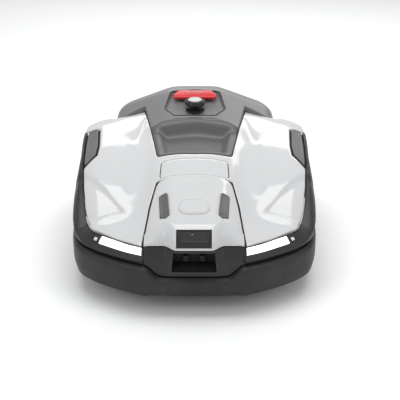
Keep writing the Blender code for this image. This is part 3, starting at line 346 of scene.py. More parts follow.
looks = {name: makePlastic(name, spec) for name, spec in finishes.items()}
looks["bladeSteel"] = makeMetal("bladeSteel", (0.60, 0.60, 0.61), 0.18, 0.30, (1.0, 40.0, 1.0))
looks["motorMetal"] = makeMetal("motorMetal", (0.50, 0.51, 0.52), 0.30, 0.42, (1.0, 1.0, 40.0))
# charging contacts coloured near-black: painted shade of the dark pocket they sit in
looks["shadedContactMetal"] = makeMetal("shadedContactMetal", (0.030, 0.027, 0.022), 0.34, 0.46, (40.0, 1.0, 1.0))
looks["lampGlow"] = makeLamp("lampGlow", (0.96, 0.98, 1.0), 1.6)
looks["statusGreen"] = makeLamp("statusGreen", (0.01, 0.30, 0.13), 0.30)
looks["lensGlass"] = makeGlass("lensGlass", (0.004, 0.005, 0.005), 0.05)
print("materials:", len(looks))


# the skin that every cover panel follows
skinShape = dict(
    firstY=-0.350, stepY=0.060, stepX=0.040,
    heights=(  # millimetres: a row per station from the nose back, a column every 40 mm outwards
        (148, 148, 147, 145, 140, 134, 122, 105),
        (176, 174, 168, 158, 151, 146, 136, 120),
        (202, 199, 186, 168, 163, 160, 150, 130),
        (219, 217, 204, 184, 186, 190, 181, 160),
        (232, 230, 220, 203, 208, 213, 207, 188),
        (243, 242, 234, 219, 224, 228, 222, 203),
        (251, 250, 245, 233, 236, 239, 234, 215),
        (260, 259, 255, 243, 244, 246, 241, 222),
        (270, 269, 266, 254, 252, 252, 247, 229),
        (281, 280, 275, 262, 255, 250, 243, 227),
        (285, 284, 278, 262, 246, 236, 226, 210),
    ),
    facetPoint=(0.148, -0.199), facetUpper=(0.211, -0.121), facetLower=(0.231, -0.223),
    facetDepth=0.0065, facetSoft=0.011,
)


def ease(t):
    t = np.clip(t, 0.0, 1.0)
    return t * t * (3 - 2 * t)


def curveThrough(a, b, c, d, t):
    return b + 0.5 * t * (c - a + t * (2 * a - 5 * b + 4 * c - d + t * (3 * (b - c) + d - a)))


def facetDrop(x, y):  # the pressed-in corner between its two creases
    px, py = skinShape["facetPoint"]
    ux, uy = skinShape["facetUpper"][0] - px, skinShape["facetUpper"][1] - py
    lx, ly = skinShape["facetLower"][0] - px, skinShape["facetLower"][1] - py
    belowUpper = (uy * (x - px) - ux * (y - py)) / math.hypot(ux, uy)
    aboveLower = (lx * (y - py) - ly * (x - px)) / math.hypot(lx, ly)
    return skinShape["facetDepth"] * ease(np.minimum(belowUpper, aboveLower) / skinShape["facetSoft"])


def skinHeight(x, y):
    x, y = np.abs(np.asarray(x, float)), np.asarray(y, float)
    table = np.array(skinShape["heights"], float) / 1000
    rows, columns = table.shape
    across = np.clip(x / skinShape["stepX"], 0, columns - 1.001)
    along = np.clip((y - skinShape["firstY"]) / skinShape["stepY"], 0, rows - 1.001)
    column, row = across.astype(int), along.astype(int)

    def section(r):
        r = np.clip(r, 0, rows - 1)
        near = [table[r, np.minimum(np.abs(column + k), columns - 1)] for k in (-1, 0, 1, 2)]
        return curveThrough(*near, across - column)

    height = curveThrough(*[section(row + k) for k in (-1, 0, 1, 2)], along - row)
    return height - facetDrop(x, y) - creaseDrop(x, y)


creases = (  # soft pressed lines in the hood: start, end, half width and depth
    ((0.120, 0.180), (0.150, 0.040), 0.010, 0.0016),
    ((0.150, 0.040), (0.152, -0.150), 0.016, 0.0014),
)


def creaseDrop(x, y):
    total = np.zeros_like(np.asarray(x, float) + np.asarray(y, float))
    for start, end, wide, deep in creases:
        ax, ay, bx, by = *start, *end
        length = math.hypot(bx - ax, by - ay)
        t = np.clip(((x - ax) * (bx - ax) + (y - ay) * (by - ay)) / length**2, 0, 1)
        away = np.hypot(x - ax - t * (bx - ax), y - ay - t * (by - ay))
        total = total + deep * ease(1 - away / wide) * ease(np.minimum(t, 1 - t) * 6 + 0.05)
    return total


rearShape = dict(
    line=((0.100, 0.2765), (0.120, 0.2795), (0.235, 0.3060), (0.245, 0.3080), (0.255, 0.3087),
          (0.265, 0.3080), (0.290, 0.3035),
          (0.315, 0.2950), (0.335, 0.2872), (0.365, 0.2700)),
    slope=0.19, level=0.058, bend=0.012, roll=0.026,
    rim=((0.204, 0.200), (0.2035, 0.230), (0.202, 0.260), (0.1975, 0.280), (0.190, 0.298), (0.179, 0.314),
         (0.165, 0.3275), (0.147, 0.3390),
         (0.125, 0.3470), (0.103, 0.3520), (0.080, 0.3548), (0.040, 0.3572), (0.0, 0.3578)),
)


def awayFromLine(x, y, line):
    best = np.full(np.shape(x), 1.0)
    for (ax, ay), (bx, by) in zip(line, line[1:]):
        square = (bx - ax) ** 2 + (by - ay) ** 2 + 1e-18
        t = np.clip(((x - ax) * (bx - ax) + (y - ay) * (by - ay)) / square, 0, 1)
        best = np.minimum(best, np.hypot(x - ax - t * (bx - ax), y - ay - t * (by - ay)))
    return best


def rearHeight(x, y):
    x, y = np.abs(np.asarray(x, float)), np.asarray(y, float)
    ys, zs = zip(*rearShape["line"])
    past = x - rearShape["level"]
    base = np.interp(y, ys, zs) - rearShape["slope"] * (past + np.hypot(past, rearShape["bend"]))
    near = np.minimum(1.0, awayFromLine(x, y, rearShape["rim"]) / rearShape["roll"])
    return base - rearShape["roll"] * (1 - np.sqrt(np.clip(1 - (1 - near) ** 2, 0, 1)))


# plan outlines
def roundedLine(half, steps=8):  # a half outline of (x, y, radius) with arcs for corners
    points = []
    for i, (x, y, radius) in enumerate(half):
        here = Vector((x, y))
        if radius == 0 or i in (0, len(half) - 1):
            points.append(here)
            continue
        before, after = Vector(half[i - 1][:2]) - here, Vector(half[i + 1][:2]) - here
        reach = radius / math.tan(before.angle(after) / 2)
        reach = min(reach, 0.48 * before.length, 0.48 * after.length)
        start, end = here + before.normalized() * reach, here + after.normalized() * reach
        for k in range(steps + 1):
            t = k / steps
            points.append((1 - t) ** 2 * start + 2 * t * (1 - t) * here + t * t * end)
    return points


def loopArea(loop):
    return sum(a.x * b.y - b.x * a.y for a, b in zip(loop, loop[1:] + loop[:1])) / 2


def facingUp(loop):
    return loop if loopArea(loop) > 0 else loop[::-1]


def wholeLoop(half):
    right = [p for p in half if p.x > 1e-6]
    ends = [p for p in (half[0], half[-1]) if p.x <= 1e-6]
    return facingUp([ends[0], *right, *ends[1:], *[Vector((-p.x, p.y)) for p in reversed(right)]])


def evenLoop(loop, gap):  # even spacing, keeping every corner point
    points = []
    for a, b in zip(loop, loop[1:] + loop[:1]):
        count = max(1, math.ceil((b - a).length / gap))
        points += [a.lerp(b, k / count) for k in range(count)]
    kept = []
    for p in points:
        if not kept or (p - kept[-1]).length > gap * 0.2:
            kept.append(p)
    return kept


def insetLoop(loop, distance):
    moved = []
    for i, here in enumerate(loop):
        before = (here - loop[i - 1]).normalized()
        after = (loop[(i + 1) % len(loop)] - here).normalized()
        normal = Vector((-before.y - after.y, before.x + after.x)).normalized()
        lean = max(0.5, normal.dot(Vector((-before.y, before.x))))
        moved.append(here + normal * distance / lean)
    return moved


def insideLoop(x, y, loop):
    hit = np.zeros(np.shape(x), bool)
    for a, b in zip(loop, loop[1:] + loop[:1]):
        crosses = (a.y > y) != (b.y > y)
        with np.errstate(divide="ignore", invalid="ignore"):
            hit ^= crosses & (x < (b.x - a.x) * (y - a.y) / (b.y - a.y) + a.x)
    return hit


def closedLine(loop):
    return [tuple(p) for p in loop] + [tuple(loop[0])]


# meshes
def addPiece(name, verts, faces, look, sharp=35.0, fixNormals=True):
    mesh = bpy.data.meshes.new(name)
    mesh.from_pydata([tuple(v) for v in verts], [], [tuple(f) for f in faces])
    work = bmesh.new()
    work.from_mesh(mesh)
    bmesh.ops.remove_doubles(work, verts=work.verts, dist=1e-6)
    bmesh.ops.dissolve_degenerate(work, edges=work.edges, dist=1e-6)
    if fixNormals:
        bmesh.ops.recalc_face_normals(work, faces=work.faces)
    work.to_mesh(mesh)
    work.free()
    mesh.shade_smooth()
    mesh.set_sharp_from_angle(angle=math.radians(sharp))
    mesh.materials.append(looks[look])
    piece = bpy.data.objects.new(name, mesh)
    bpy.context.scene.collection.objects.link(piece)
    return piece


def finePanel(name, loop, height, look, holes=(), lines=(), step=0.006, edge=0.0022, thick=0.0035,
              sharp=40.0):  # a panel that follows a height, edges rounded
    rims = [evenLoop(r, 0.0035) for r in (loop, *holes)]
    flat, edges = [], []
    for rim in [*rims, *[evenLoop(r, 0.004) for r in lines]]:
        first = len(flat)
        flat += rim
        edges += [(first + k, first + (k + 1) % len(rim)) for k in range(len(rim))]
    rimLines = [closedLine(r) for r in rims]

    def away(x, y):
        return np.min([awayFromLine(x, y, line) for line in rimLines], axis=0)

    for share in (0.14, 0.5, 1.0):  # rings that carry the rounded edge
        for rim, sign in zip(rims, [1] + [1] * len(holes)):
            moved = insetLoop(rim, edge * share * (sign if rim is rims[0] else -1))
            xs, ys = np.array([p.x for p in moved]), np.array([p.y for p in moved])
            good = (away(xs, ys) > edge * share * 0.93) & insideLoop(xs, ys, rims[0])
            for hole in rims[1:]:
                good &= ~insideLoop(xs, ys, hole)
            flat += [p for p, ok in zip(moved, good) if ok]
    reach = max(abs(p.x) for p in loop)
    lowY, highY = min(p.y for p in loop), max(p.y for p in loop)
    gx, gy = np.meshgrid(np.arange(-int(reach / step), int(reach / step) + 1) * step,
                         np.arange(lowY + step / 2, highY, step * 0.87))
    gx[1::2] += step / 2
    gx, gy = gx.ravel(), gy.ravel()
    good = insideLoop(gx, gy, rims[0]) & (away(gx, gy) > edge + 0.35 * step)
    for hole in rims[1:]:
        good &= ~insideLoop(gx, gy, hole)
    for line in lines:
        good &= awayFromLine(gx, gy, closedLine(evenLoop(line, 0.004))) > 0.35 * step
    flat += [Vector((x, y)) for x, y in zip(gx[good], gy[good])]
    points, _, triangles, *_ = delaunay_2d_cdt(flat, edges, [], 1, 1e-7, False)
    xs, ys = np.array([p.x for p in points]), np.array([p.y for p in points])
    corners = np.array(triangles, int)
    mx, my = xs[corners].mean(axis=1), ys[corners].mean(axis=1)
    good = insideLoop(mx, my, rims[0])
    for hole in rims[1:]:
        good &= ~insideLoop(mx, my, hole)
    kept = [tuple(t) for t in corners[good]]
    near = np.clip(away(xs, ys) / edge, 0, 1)
    top = height(xs, ys)
    drop = edge * (1 - np.sqrt(np.clip(1 - (1 - near) ** 2, 0, 1)))
    shift = len(xs)
    verts = list(zip(xs, ys, top - drop)) + list(zip(xs, ys, top - thick))
    faces = kept + [tuple(k + shift for k in reversed(t)) for t in kept]
    sides = {(t[k], t[(k + 1) % 3]) for t in kept for k in range(3)}
    faces += [(b, a, a + shift, b + shift) for a, b in sides if (b, a) not in sides]
    return addPiece(name, verts, faces, look, sharp, False)


def loftPiece(name, rings, look, closed=False, sharp=35.0):  # equal closed rings, ends capped
    count = len(rings[0])
    verts = [p for ring in rings for p in ring]
    faces = []
    for i in range(len(rings) if closed else len(rings) - 1):
        near, far = i * count, ((i + 1) % len(rings)) * count
        faces += [(near + k, near + (k + 1) % count, far + (k + 1) % count, far + k) for k in range(count)]
    if not closed:
        faces += [tuple(range(count))[::-1], tuple((len(rings) - 1) * count + k for k in range(count))]
    return addPiece(name, verts, faces, look, sharp)


def roundedSection(points, radii, steps=4):  # a closed 2D section with its corners rounded
    section = []
    count = len(points)
    for i, (here, radius) in enumerate(zip(points, radii)):
        here = Vector(here)
        before, after = Vector(points[i - 1]) - here, Vector(points[(i + 1) % count]) - here
        if radius <= 0:
            section += [here] * (steps + 1)
            continue
        reach = min(radius / max(0.05, math.tan(before.angle(after) / 2)), 0.45 * before.length,
                    0.45 * after.length)
        start, end = here + before.normalized() * reach, here + after.normalized() * reach
        for k in range(steps + 1):
            t = k / steps
            section.append((1 - t) ** 2 * start + 2 * t * (1 - t) * here + t * t * end)
    return section


def settle(piece, body, slotName, *nodes):
    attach(piece, body)
    if nodes:
        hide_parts(*nodes)
    return piece


# hood, name plate and side pads
seam = 0.0016  # gap between neighbouring panels

hoodShape = dict(
    outline=(
        (0.0, -0.129, 0.0), (0.086, -0.124, 0.006), (0.100, -0.196, 0.20), (0.111, -0.322, 0.0),
        (0.172, -0.283, 0.25), (0.226, -0.238, 0.012), (0.243, -0.185, 0.15), (0.254, -0.111, 0.3),
        (0.260, -0.048, 0.010), (0.231, -0.012, 0.008), (0.229, 0.030, 0.10), (0.235, 0.122, 0.008),
        (0.276, 0.140, 0.006), (0.272, 0.200, 0.030), (0.222, 0.222, 0.020), (0.207, 0.190, 0.006),
        (0.155, 0.209, 0.10), (0.1275, 0.213, 0.002), (0.107, 0.101, 0.3), (0.087, -0.031, 0.014),
        (0.0, -0.034, 0.0),
    ),
    plate=((0.0, -0.120, 0.0), (0.079, -0.117, 0.010), (0.077, -0.055, 0.010), (0.0, -0.052, 0.0)),
    plateSunk=0.0010, step=0.0046, edge=0.0026,
)


def plateHeight(x, y):
    return skinHeight(x, y) - hoodShape["plateSunk"]


def buildHood():
    loop = insetLoop(wholeLoop(roundedLine(hoodShape["outline"])), seam / 2)
    plate = wholeLoop(roundedLine(hoodShape["plate"]))
    hood = finePanel("hoodSkin", loop, skinHeight, "hoodWhite", [insetLoop(plate, -seam / 2)], (),
                     hoodShape["step"], hoodShape["edge"])
    settle(hood, "cover", "gloss_white", "hood")
    cover = finePanel("namePlate", insetLoop(plate, seam / 2), plateHeight, "hoodWhite", (), (), 0.005,
                      0.0012, 0.003)
    settle(cover, "cover", "gloss_white", "name_plate")


padShape = dict(
    outline=((0.2575, -0.0400), (0.2605, -0.0230), (0.2622, 0.0200), (0.2640, 0.0600), (0.2645, 0.1290),
             (0.2385, 0.1200), (0.2320, 0.0300), (0.2340, -0.0100)),
    proud=0.0018, border=0.0040, sunk=0.0012,
)


def buildShoulderPads():
    for label, side in (("left", -1), ("right", 1)):
        loop = facingUp([Vector((side * x, y)) for x, y in padShape["outline"]])
        loop = insetLoop(evenLoop(loop, 0.004), seam / 2)
        inner = insetLoop(loop, padShape["border"])
        line = closedLine(inner)

        def height(x, y, inner=inner, line=line):
            inside = insideLoop(x, y, inner)
            share = np.where(inside, ease(awayFromLine(x, y, line) / 0.0022), 0.0)
            return skinHeight(x, y) + padShape["proud"] - padShape["sunk"] * share

        pad = finePanel(f"shoulderPad_{label}", loop, height, "padGrey", (),
                        [inner, insetLoop(inner, 0.0022)], 0.004, 0.0012, 0.005)
        settle(pad, "cover", "pad_grey", f"shoulder_pad_{label}")


buildHood()
buildShoulderPads()
print("hood and pads built")


# Geometry Nodes: teeth, ribs, lugs and screws set round a ring
def ringTree():
    tree = bpy.data.node_groups.new("teethOnRing", "GeometryNodeTree")
    face = tree.interface
    for label, kind, value in (
        ("Count", "NodeSocketInt", 12), ("Radius", "NodeSocketFloat", 0.02),
        ("Height", "NodeSocketFloat", 0.0),
        ("Sides", "NodeSocketInt", 8), ("Foot", "NodeSocketFloat", 0.001),
        ("Tip", "NodeSocketFloat", 0.0008),
        ("Length", "NodeSocketFloat", 0.01), ("Stretch", "NodeSocketVector", (1.0, 1.0, 1.0)),
        ("Lean", "NodeSocketVector", (0.0, 0.0, 0.0)), ("Phase", "NodeSocketFloat", 0.0),
        ("Look", "NodeSocketMaterial", None),
    ):
        socket = face.new_socket(name=label, in_out="INPUT", socket_type=kind)
        if value is not None:
            socket.default_value = value
    face.new_socket(name="Mesh", in_out="OUTPUT", socket_type="NodeSocketGeometry")
    into, out = tree.nodes.new("NodeGroupInput"), tree.nodes.new("NodeGroupOutput")
    ring = tree.nodes.new("GeometryNodeMeshCircle")
    link(tree, into.outputs["Count"], ring.inputs["Vertices"])
    link(tree, into.outputs["Radius"], ring.inputs["Radius"])
    tooth = tree.nodes.new("GeometryNodeMeshCone")
    link(tree, into.outputs["Sides"], tooth.inputs["Vertices"])
    link(tree, into.outputs["Foot"], tooth.inputs["Radius Bottom"])
    link(tree, into.outputs["Tip"], tooth.inputs["Radius Top"])
    link(tree, into.outputs["Length"], tooth.inputs["Depth"])
    shaped = tree.nodes.new("GeometryNodeTransform")
    link(tree, tooth.outputs["Mesh"], shaped.inputs["Geometry"])
    link(tree, into.outputs["Lean"], shaped.inputs["Rotation"])
    stretched = tree.nodes.new("GeometryNodeTransform")
    link(tree, shaped.outputs["Geometry"], stretched.inputs["Geometry"])
    link(tree, into.outputs["Stretch"], stretched.inputs["Scale"])
    outward = tree.nodes.new("FunctionNodeAlignRotationToVector")
    outward.axis = "X"
    link(tree, tree.nodes.new("GeometryNodeInputPosition").outputs[0], outward.inputs["Vector"])
    placed = tree.nodes.new("GeometryNodeInstanceOnPoints")
    link(tree, ring.outputs["Mesh"], placed.inputs["Points"])
    link(tree, stretched.outputs["Geometry"], placed.inputs["Instance"])
    link(tree, outward.outputs[0], placed.inputs["Rotation"])
    lift = tree.nodes.new("ShaderNodeCombineXYZ")
    link(tree, into.outputs["Height"], lift.inputs["Z"])
    turn = tree.nodes.new("ShaderNodeCombineXYZ")
    link(tree, into.outputs["Phase"], turn.inputs["Z"])
    raised = tree.nodes.new("GeometryNodeTransform")
    link(tree, placed.outputs["Instances"], raised.inputs["Geometry"])
    link(tree, lift.outputs[0], raised.inputs["Translation"])
    link(tree, turn.outputs[0], raised.inputs["Rotation"])
    real = tree.nodes.new("GeometryNodeRealizeInstances")
    link(tree, raised.outputs["Geometry"], real.inputs["Geometry"])
    coat = tree.nodes.new("GeometryNodeSetMaterial")
    link(tree, real.outputs["Geometry"], coat.inputs["Geometry"])
    link(tree, into.outputs["Look"], coat.inputs["Material"])
    link(tree, coat.outputs["Geometry"], out.inputs["Mesh"])
    return tree


teethOnRing = ringTree()


def ringPiece(name, centre, look, axis="Z", **values):
    carrier = bpy.data.objects.new(name + "_tree", bpy.data.meshes.new(name + "_seed"))
    bpy.context.scene.collection.objects.link(carrier)
    made = carrier.modifiers.new("teeth", "NODES")
    made.node_group = teethOnRing
    for item in teethOnRing.interface.items_tree:
        if item.in_out == "INPUT" and item.name in values:
            made[item.identifier] = values[item.name]
        elif item.in_out == "INPUT" and item.name == "Look":
            made[item.identifier] = looks[look]
    carrier.update_tag()
    graph = bpy.context.evaluated_depsgraph_get()
    mesh = bpy.data.meshes.new_from_object(carrier.evaluated_get(graph))
    bpy.data.objects.remove(carrier)
    mesh.name = name
    turn = Vector(centre)
    for vert in mesh.vertices:
        x, y, z = vert.co
        vert.co = turn + Vector({"X": (z, x, y), "Y": (y, z, x), "Z": (x, y, z)}[axis])
    mesh.shade_smooth()
    mesh.set_sharp_from_angle(angle=math.radians(40))
    if not mesh.materials:
        mesh.materials.append(looks[look])
    piece = bpy.data.objects.new(name, mesh)
    bpy.context.scene.collection.objects.link(piece)
    return piece


def turnedPiece(name, profile, centre, look, axis="Z", steps=64, soft=0.0006,
                sharp=30.0):  # a softened profile of (radius, height)
    radii = [0.0 if r < 1e-9 or i in (0, len(profile) - 1) else soft for i, (r, _) in enumerate(profile)]
    closesOnAxis = profile[0][0] < 1e-9
    smoothed = []
    for i, (point, radius) in enumerate(zip(profile, radii)):
        here = Vector(point)
        if radius <= 0:
            smoothed.append(here)
            continue
        before, after = Vector(profile[i - 1]) - here, Vector(profile[(i + 1) % len(profile)]) - here
        reach = min(radius, 0.4 * before.length, 0.4 * after.length)
        start, end = here + before.normalized() * reach, here + after.normalized() * reach
        smoothed += [(1 - t) ** 2 * start + 2 * t * (1 - t) * here + t * t * end
                     for t in (0, 0.25, 0.5, 0.75, 1)]
    middle, rings = Vector(centre), []
    for k in range(steps):
        angle = 2 * math.pi * k / steps
        c, s = math.cos(angle), math.sin(angle)
        if axis == "Z":
            rings.append([middle + Vector((p.x * c, p.x * s, p.y)) for p in smoothed])
        else:
            rings.append([middle + Vector((p.y, p.x * c, p.x * s)) for p in smoothed])
    count, faces = len(smoothed), []
    for k in range(steps):
        near, far = k * count, ((k + 1) % steps) * count
        for i in range(count - 1 if closesOnAxis else count):
            j = (i + 1) % count
            faces.append((near + i, near + j, far + j, far + i))
    return addPiece(name, [p for ring in rings for p in ring], faces, look, sharp)


# console, rear cover and controls
consoleShape = dict(
    outline=((0.0, -0.034, 0.0), (0.087, -0.031, 0.014), (0.107, 0.101, 0.0), (0.074, 0.113, 0.02),
             (0.0, 0.120, 0.0)),
    well=((0.0, -0.028, 0.0), (0.081, -0.025, 0.014), (0.096, 0.093, 0.014), (0.0, 0.109, 0.0)),
    deep=0.018, slope=0.030, rise=0.001,
)


def buildConsole():
    loop = insetLoop(wholeLoop(roundedLine(consoleShape["outline"])), seam / 2)
    rim = evenLoop(wholeLoop(roundedLine(consoleShape["well"])), 0.004)
    line = closedLine(rim)

    def height(x, y):
        share = np.where(insideLoop(x, y, rim),
                         ease(0.08 + 0.92 * awayFromLine(x, y, line) / consoleShape["slope"]) - ease(0.08),
                         0.0)
        top = skinHeight(x, y) + consoleShape["rise"] + step * ease((y - 0.070) / 0.042)
        return top - consoleShape["deep"] * share

    step = float(rearHeight(0, 0.120) - skinHeight(0, 0.120)) - consoleShape["rise"]
    rings = [rim, insetLoop(rim, 0.003), insetLoop(rim, 0.008)]
    console = finePanel("consoleWell", loop, height, "wellGrey", (), rings, 0.005, 0.0022)
    settle(console, "cover", "dark_grey", "console_well")


rearCover = dict(
    outline=(
        (0.0, 0.120, 0.0), (0.074, 0.113, 0.02), (0.107, 0.101, 0.0), (0.1275, 0.213, 0.002),
        (0.155, 0.209, 0.10),
        (0.204, 0.190, 0.004), (0.2035, 0.230, 0.0), (0.202, 0.260, 0.0), (0.1975, 0.280, 0.0),
        (0.190, 0.298, 0.0), (0.179, 0.314, 0.0),
        (0.165, 0.3275, 0.0), (0.147, 0.3390, 0.0), (0.125, 0.3470, 0.0), (0.103, 0.3520, 0.0),
        (0.080, 0.3548, 0.0), (0.040, 0.3572, 0.0), (0.0, 0.3578, 0.0),
    ),
    recess=((0.0, 0.128, 0.0), (0.052, 0.128, 0.010), (0.077, 0.168, 0.012), (0.064, 0.240, 0.010),
            (0.0, 0.246, 0.0)),
    tray=0.012, wall=0.0042, grooves=(((0.0645, 0.196), (0.0585, 0.160)),), grooveWide=0.0014,
    grooveDeep=0.0016,
)
traySpot = dict(knob=(0.0, 0.176))


def buildRearCover():
    loop = insetLoop(wholeLoop(roundedLine(rearCover["outline"])), seam / 2)
    hole = wholeLoop(roundedLine(rearCover["recess"]))
    cover = finePanel("rearCover", loop, rearHeight, "satinGrey", [hole], (), 0.0042, 0.0016, 0.013)
    settle(cover, "cover", "satin_grey", "rear_cover")
    outer = evenLoop(insetLoop(hole, 0.0003), 0.003)
    line = closedLine(outer)

    def height(x, y):
        away = awayFromLine(x, y, line)
        share = ease((away - 0.0012) / rearCover["wall"])
        rim, floor = rearHeight(x, y) - 0.0006, rearHeight(x * 0, y) - rearCover["tray"]
        top = rim + (np.minimum(floor, rim) - rim) * share
        for start, end in rearCover["grooves"]:
            dents = awayFromLine(np.abs(x), y, [start, end])
            top = top - rearCover["grooveDeep"] * ease(1.4 - dents / rearCover["grooveWide"])
        return top

    rings = [insetLoop(outer, d) for d in (0.0012, 0.0024, 0.0036, 0.0046, 0.0056)]
    grooves = []
    for (ax, ay), (bx, by) in rearCover["grooves"]:
        for side in (1, -1):
            along = Vector((bx - ax, by - ay)).normalized()
            across = Vector((-along.y, along.x)) * 0.0019
            corners = [Vector((ax, ay)) + across, Vector((bx, by)) + across, Vector((bx, by)) - across,
                       Vector((ax, ay)) - across]
            grooves.append(facingUp([Vector((side * p.x, p.y)) for p in corners]))
    tray = finePanel("controlTray", outer, height, "satinGrey", (), rings + grooves, 0.0036, 0.0005, 0.003)
    settle(tray, "cover", "satin_grey", "control_panel")
    rim = evenLoop(insetLoop(hole, 0.0002), 0.004)
    inner = insetLoop(rim, 0.0030)
    verts, faces = [], []
    for near, far in zip(rim, inner):
        base = rearHeight(near.x, near.y) + 0.0004
        low = min(base, rearHeight(0, far.y)) - 0.0085
        verts += [(near.x, near.y, base), (near.x * 0.985 + far.x * 0.015, near.y * 0.985 + far.y * 0.015,
                                           base + 0.0006)]
        verts += [(near.x * 0.45 + far.x * 0.55, near.y * 0.45 + far.y * 0.55, base + 0.0002),
                  (far.x, far.y, low)]
    count = len(rim)
    for k in range(count):
        near, far = 4 * k, 4 * ((k + 1) % count)
        faces += [(near + i, near + i + 1, far + i + 1, far + i) for i in range(3)]
        faces.append((near + 3, near, far, far + 3))
    bezel = addPiece("trayBezel", verts, faces, "smoothBlack", 30)
    settle(bezel, "cover", "black_plastic")


stopShape = dict(half=0.0555, backHalf=0.0425, low=0.206, high=0.238, under=-0.0040, stem=0.0061)


def buildStopButton():
    low, high, half = stopShape["low"], stopShape["high"], stopShape["half"]
    middle = (low + high) / 2
    line = [(0.0, low - 0.001, 0.0), (half - 0.002, low, 0.006), (half, low + 0.009, 0.006),
            (stopShape["backHalf"], high, 0.010), (0.0, high + 0.001, 0.0)]
    loop = evenLoop(wholeLoop(roundedLine(line, 10)), 0.0025)
    rings = []
    steps = [(stopShape["under"], 0.0022), (stopShape["under"] + 0.0008, 0.0006),
             (stopShape["under"] + 0.002, 0.0)]
    steps += [(0.0004, 0.0)] + [(0.0010 + 0.0030 * math.sin(a), 0.0040 * (1 - math.cos(a)))
                                for a in (0.1, 0.35, 0.6, 0.85, 1.1, 1.35, 1.57)]
    steps += [(0.0044, 0.0054)]
    for height, shrink in steps:
        rings.append([(p.x, p.y, float(rearHeight(0, p.y)) + height) for p in insetLoop(loop, shrink)])
    pad = loftPiece("stopButton", rings, "stopRed", sharp=50)
    settle(pad, "stop", "signal_red", "stop_button")
    floor = float(rearHeight(0, middle)) - rearCover["tray"]
    stem = turnedPiece("stopStem", [(0.0, -0.016), (stopShape["stem"], -0.016), (stopShape["stem"], 0.008),
                                    (0.0, 0.008)], (0, middle, floor), "smoothBlack", steps=32)
    settle(stem, "stop", "black_plastic")
    word = bpy.data.curves.new("stopWord", "FONT")
    word.body, word.size, word.extrude, word.bevel_depth = "STOP", 0.0165, 0.0005, 0.00015
    word.align_x, word.align_y, word.space_character = "CENTER", "CENTER", 1.1
    holder = bpy.data.objects.new("stopWordLine", word)
    bpy.context.scene.collection.objects.link(holder)
    bpy.context.view_layer.update()
    mesh = bpy.data.meshes.new_from_object(holder.evaluated_get(bpy.context.evaluated_depsgraph_get()))
    bpy.data.objects.remove(holder)
    for vert in mesh.vertices:
        y = middle + 0.001 + vert.co.y
        vert.co = Vector((vert.co.x, y, float(rearHeight(0, y)) + 0.0046 + vert.co.z))
    mesh.materials.clear()
    mesh.materials.append(looks["markWhite"])
    letters = bpy.data.objects.new("stopWord", mesh)
    bpy.context.scene.collection.objects.link(letters)
    settle(letters, "stop", "cap_grey")


knobShape = dict(radius=0.0262, foot=0.0125, tall=0.0130, ribs=24)


def buildSelector():
    x, y = traySpot["knob"]
    floor = float(rearHeight(x, y)) - rearCover["tray"]
    r, foot, tall = knobShape["radius"], knobShape["foot"], knobShape["tall"]
    profile = [(0.0, -0.030), (0.0040, -0.030), (0.0040, foot - 0.006), (0.0150, foot - 0.005),
               (r - 0.007, foot - 0.0005), (r - 0.001, foot + 0.0010),
               (r - 0.0010, foot + 0.0050), (r - 0.0050, foot + tall - 0.0012), (0.0190, foot + tall),
               (0.0180, foot + tall - 0.002), (0.0, foot + tall - 0.002)]
    knob = turnedPiece("selectorKnob", profile, (x, y, floor), "smoothBlack", steps=72, soft=0.0007)
    settle(knob, "selector_ring", "black_plastic", "selector_knob")
    ribs = ringPiece("knobRibs", (x, y, floor), "smoothBlack", Count=knobShape["ribs"], Radius=r - 0.0016,
                     Height=foot + 0.0036,
                     Sides=10, Foot=0.0017, Tip=0.0014, Length=0.0056)
    settle(ribs, "selector_ring", "black_plastic")
    top = foot + tall - 0.0024
    dome = [(0.0, top - 0.001), (0.0170, top - 0.001), (0.0172, top + 0.0026), (0.0158, top + 0.0036),
            (0.0100, top + 0.0042), (0.0, top + 0.0044)]
    cap = turnedPiece("knobCap", dome, (x, y, floor), "capGrey", steps=64, soft=0.0006)
    settle(cap, "selector_cap", "cap_grey", "knob_cap")
    # near-black disc under the knob: painted shade of the recess the knob sits in
    collar = turnedPiece("knobCollar", [(0.0, -0.0012), (0.0232, -0.0012), (0.0232, 0.0010),
                                        (0.0222, 0.0014), (0.0212, 0.0004), (0.0, 0.0003)],
                                        (x, y - 0.003, floor), "paintedShadeBlack", steps=64, soft=0.0003)
    settle(collar, "cover", "black_plastic")


buildConsole()
buildRearCover()
buildStopButton()
buildSelector()
print("console and controls built")


# the outer ring: side frames, headlights and bumper
ringShape = dict(
    inner=((0.1085, -0.3235), (0.140, -0.306), (0.172, -0.283), (0.202, -0.2625), (0.2265, -0.2385),
           (0.236, -0.213), (0.2435, -0.185), (0.2495, -0.148), (0.2545, -0.111), (0.258, -0.075),
           (0.2605, -0.048), (0.2635, -0.020), (0.2655, 0.020), (0.267, 0.052), (0.2675, 0.075),
           (0.268, 0.100), (0.268, 0.120), (0.268, 0.1365)),
    outer=((0.1085, -0.3515), (0.149, -0.334), (0.190, -0.3105), (0.222, -0.2885), (0.250, -0.261),
           (0.2645, -0.233), (0.2735, -0.193), (0.2775, -0.150), (0.2790, -0.111), (0.2795, -0.075),
           (0.2800, -0.048), (0.2800, -0.020), (0.2800, 0.020), (0.2800, 0.052), (0.2797, 0.075),
           (0.2793, 0.100), (0.2788, 0.120), (0.2782, 0.1365)),
    seam=0.120, dip=0.030, archR=0.117, wheel=(0.170, 0.105),
    lampFirst=0.10, lampGlowEnd=2.86, lampLast=3.42, lampUpper=0.10, lampLower=0.955, lampDeep=0.0028,
    groove=(0.10, 0.20, 0.0016), steps=110,
)
bumperShape = dict(clearance=0.045, foot=0.062, band=0.0115,
                   front=(0.0, 0.012, 0.024, 0.036, 0.042, 0.048, 0.054, 0.060, 0.065, 0.070, 0.075, 0.080,
                          0.085, 0.090, 0.095, 0.099))


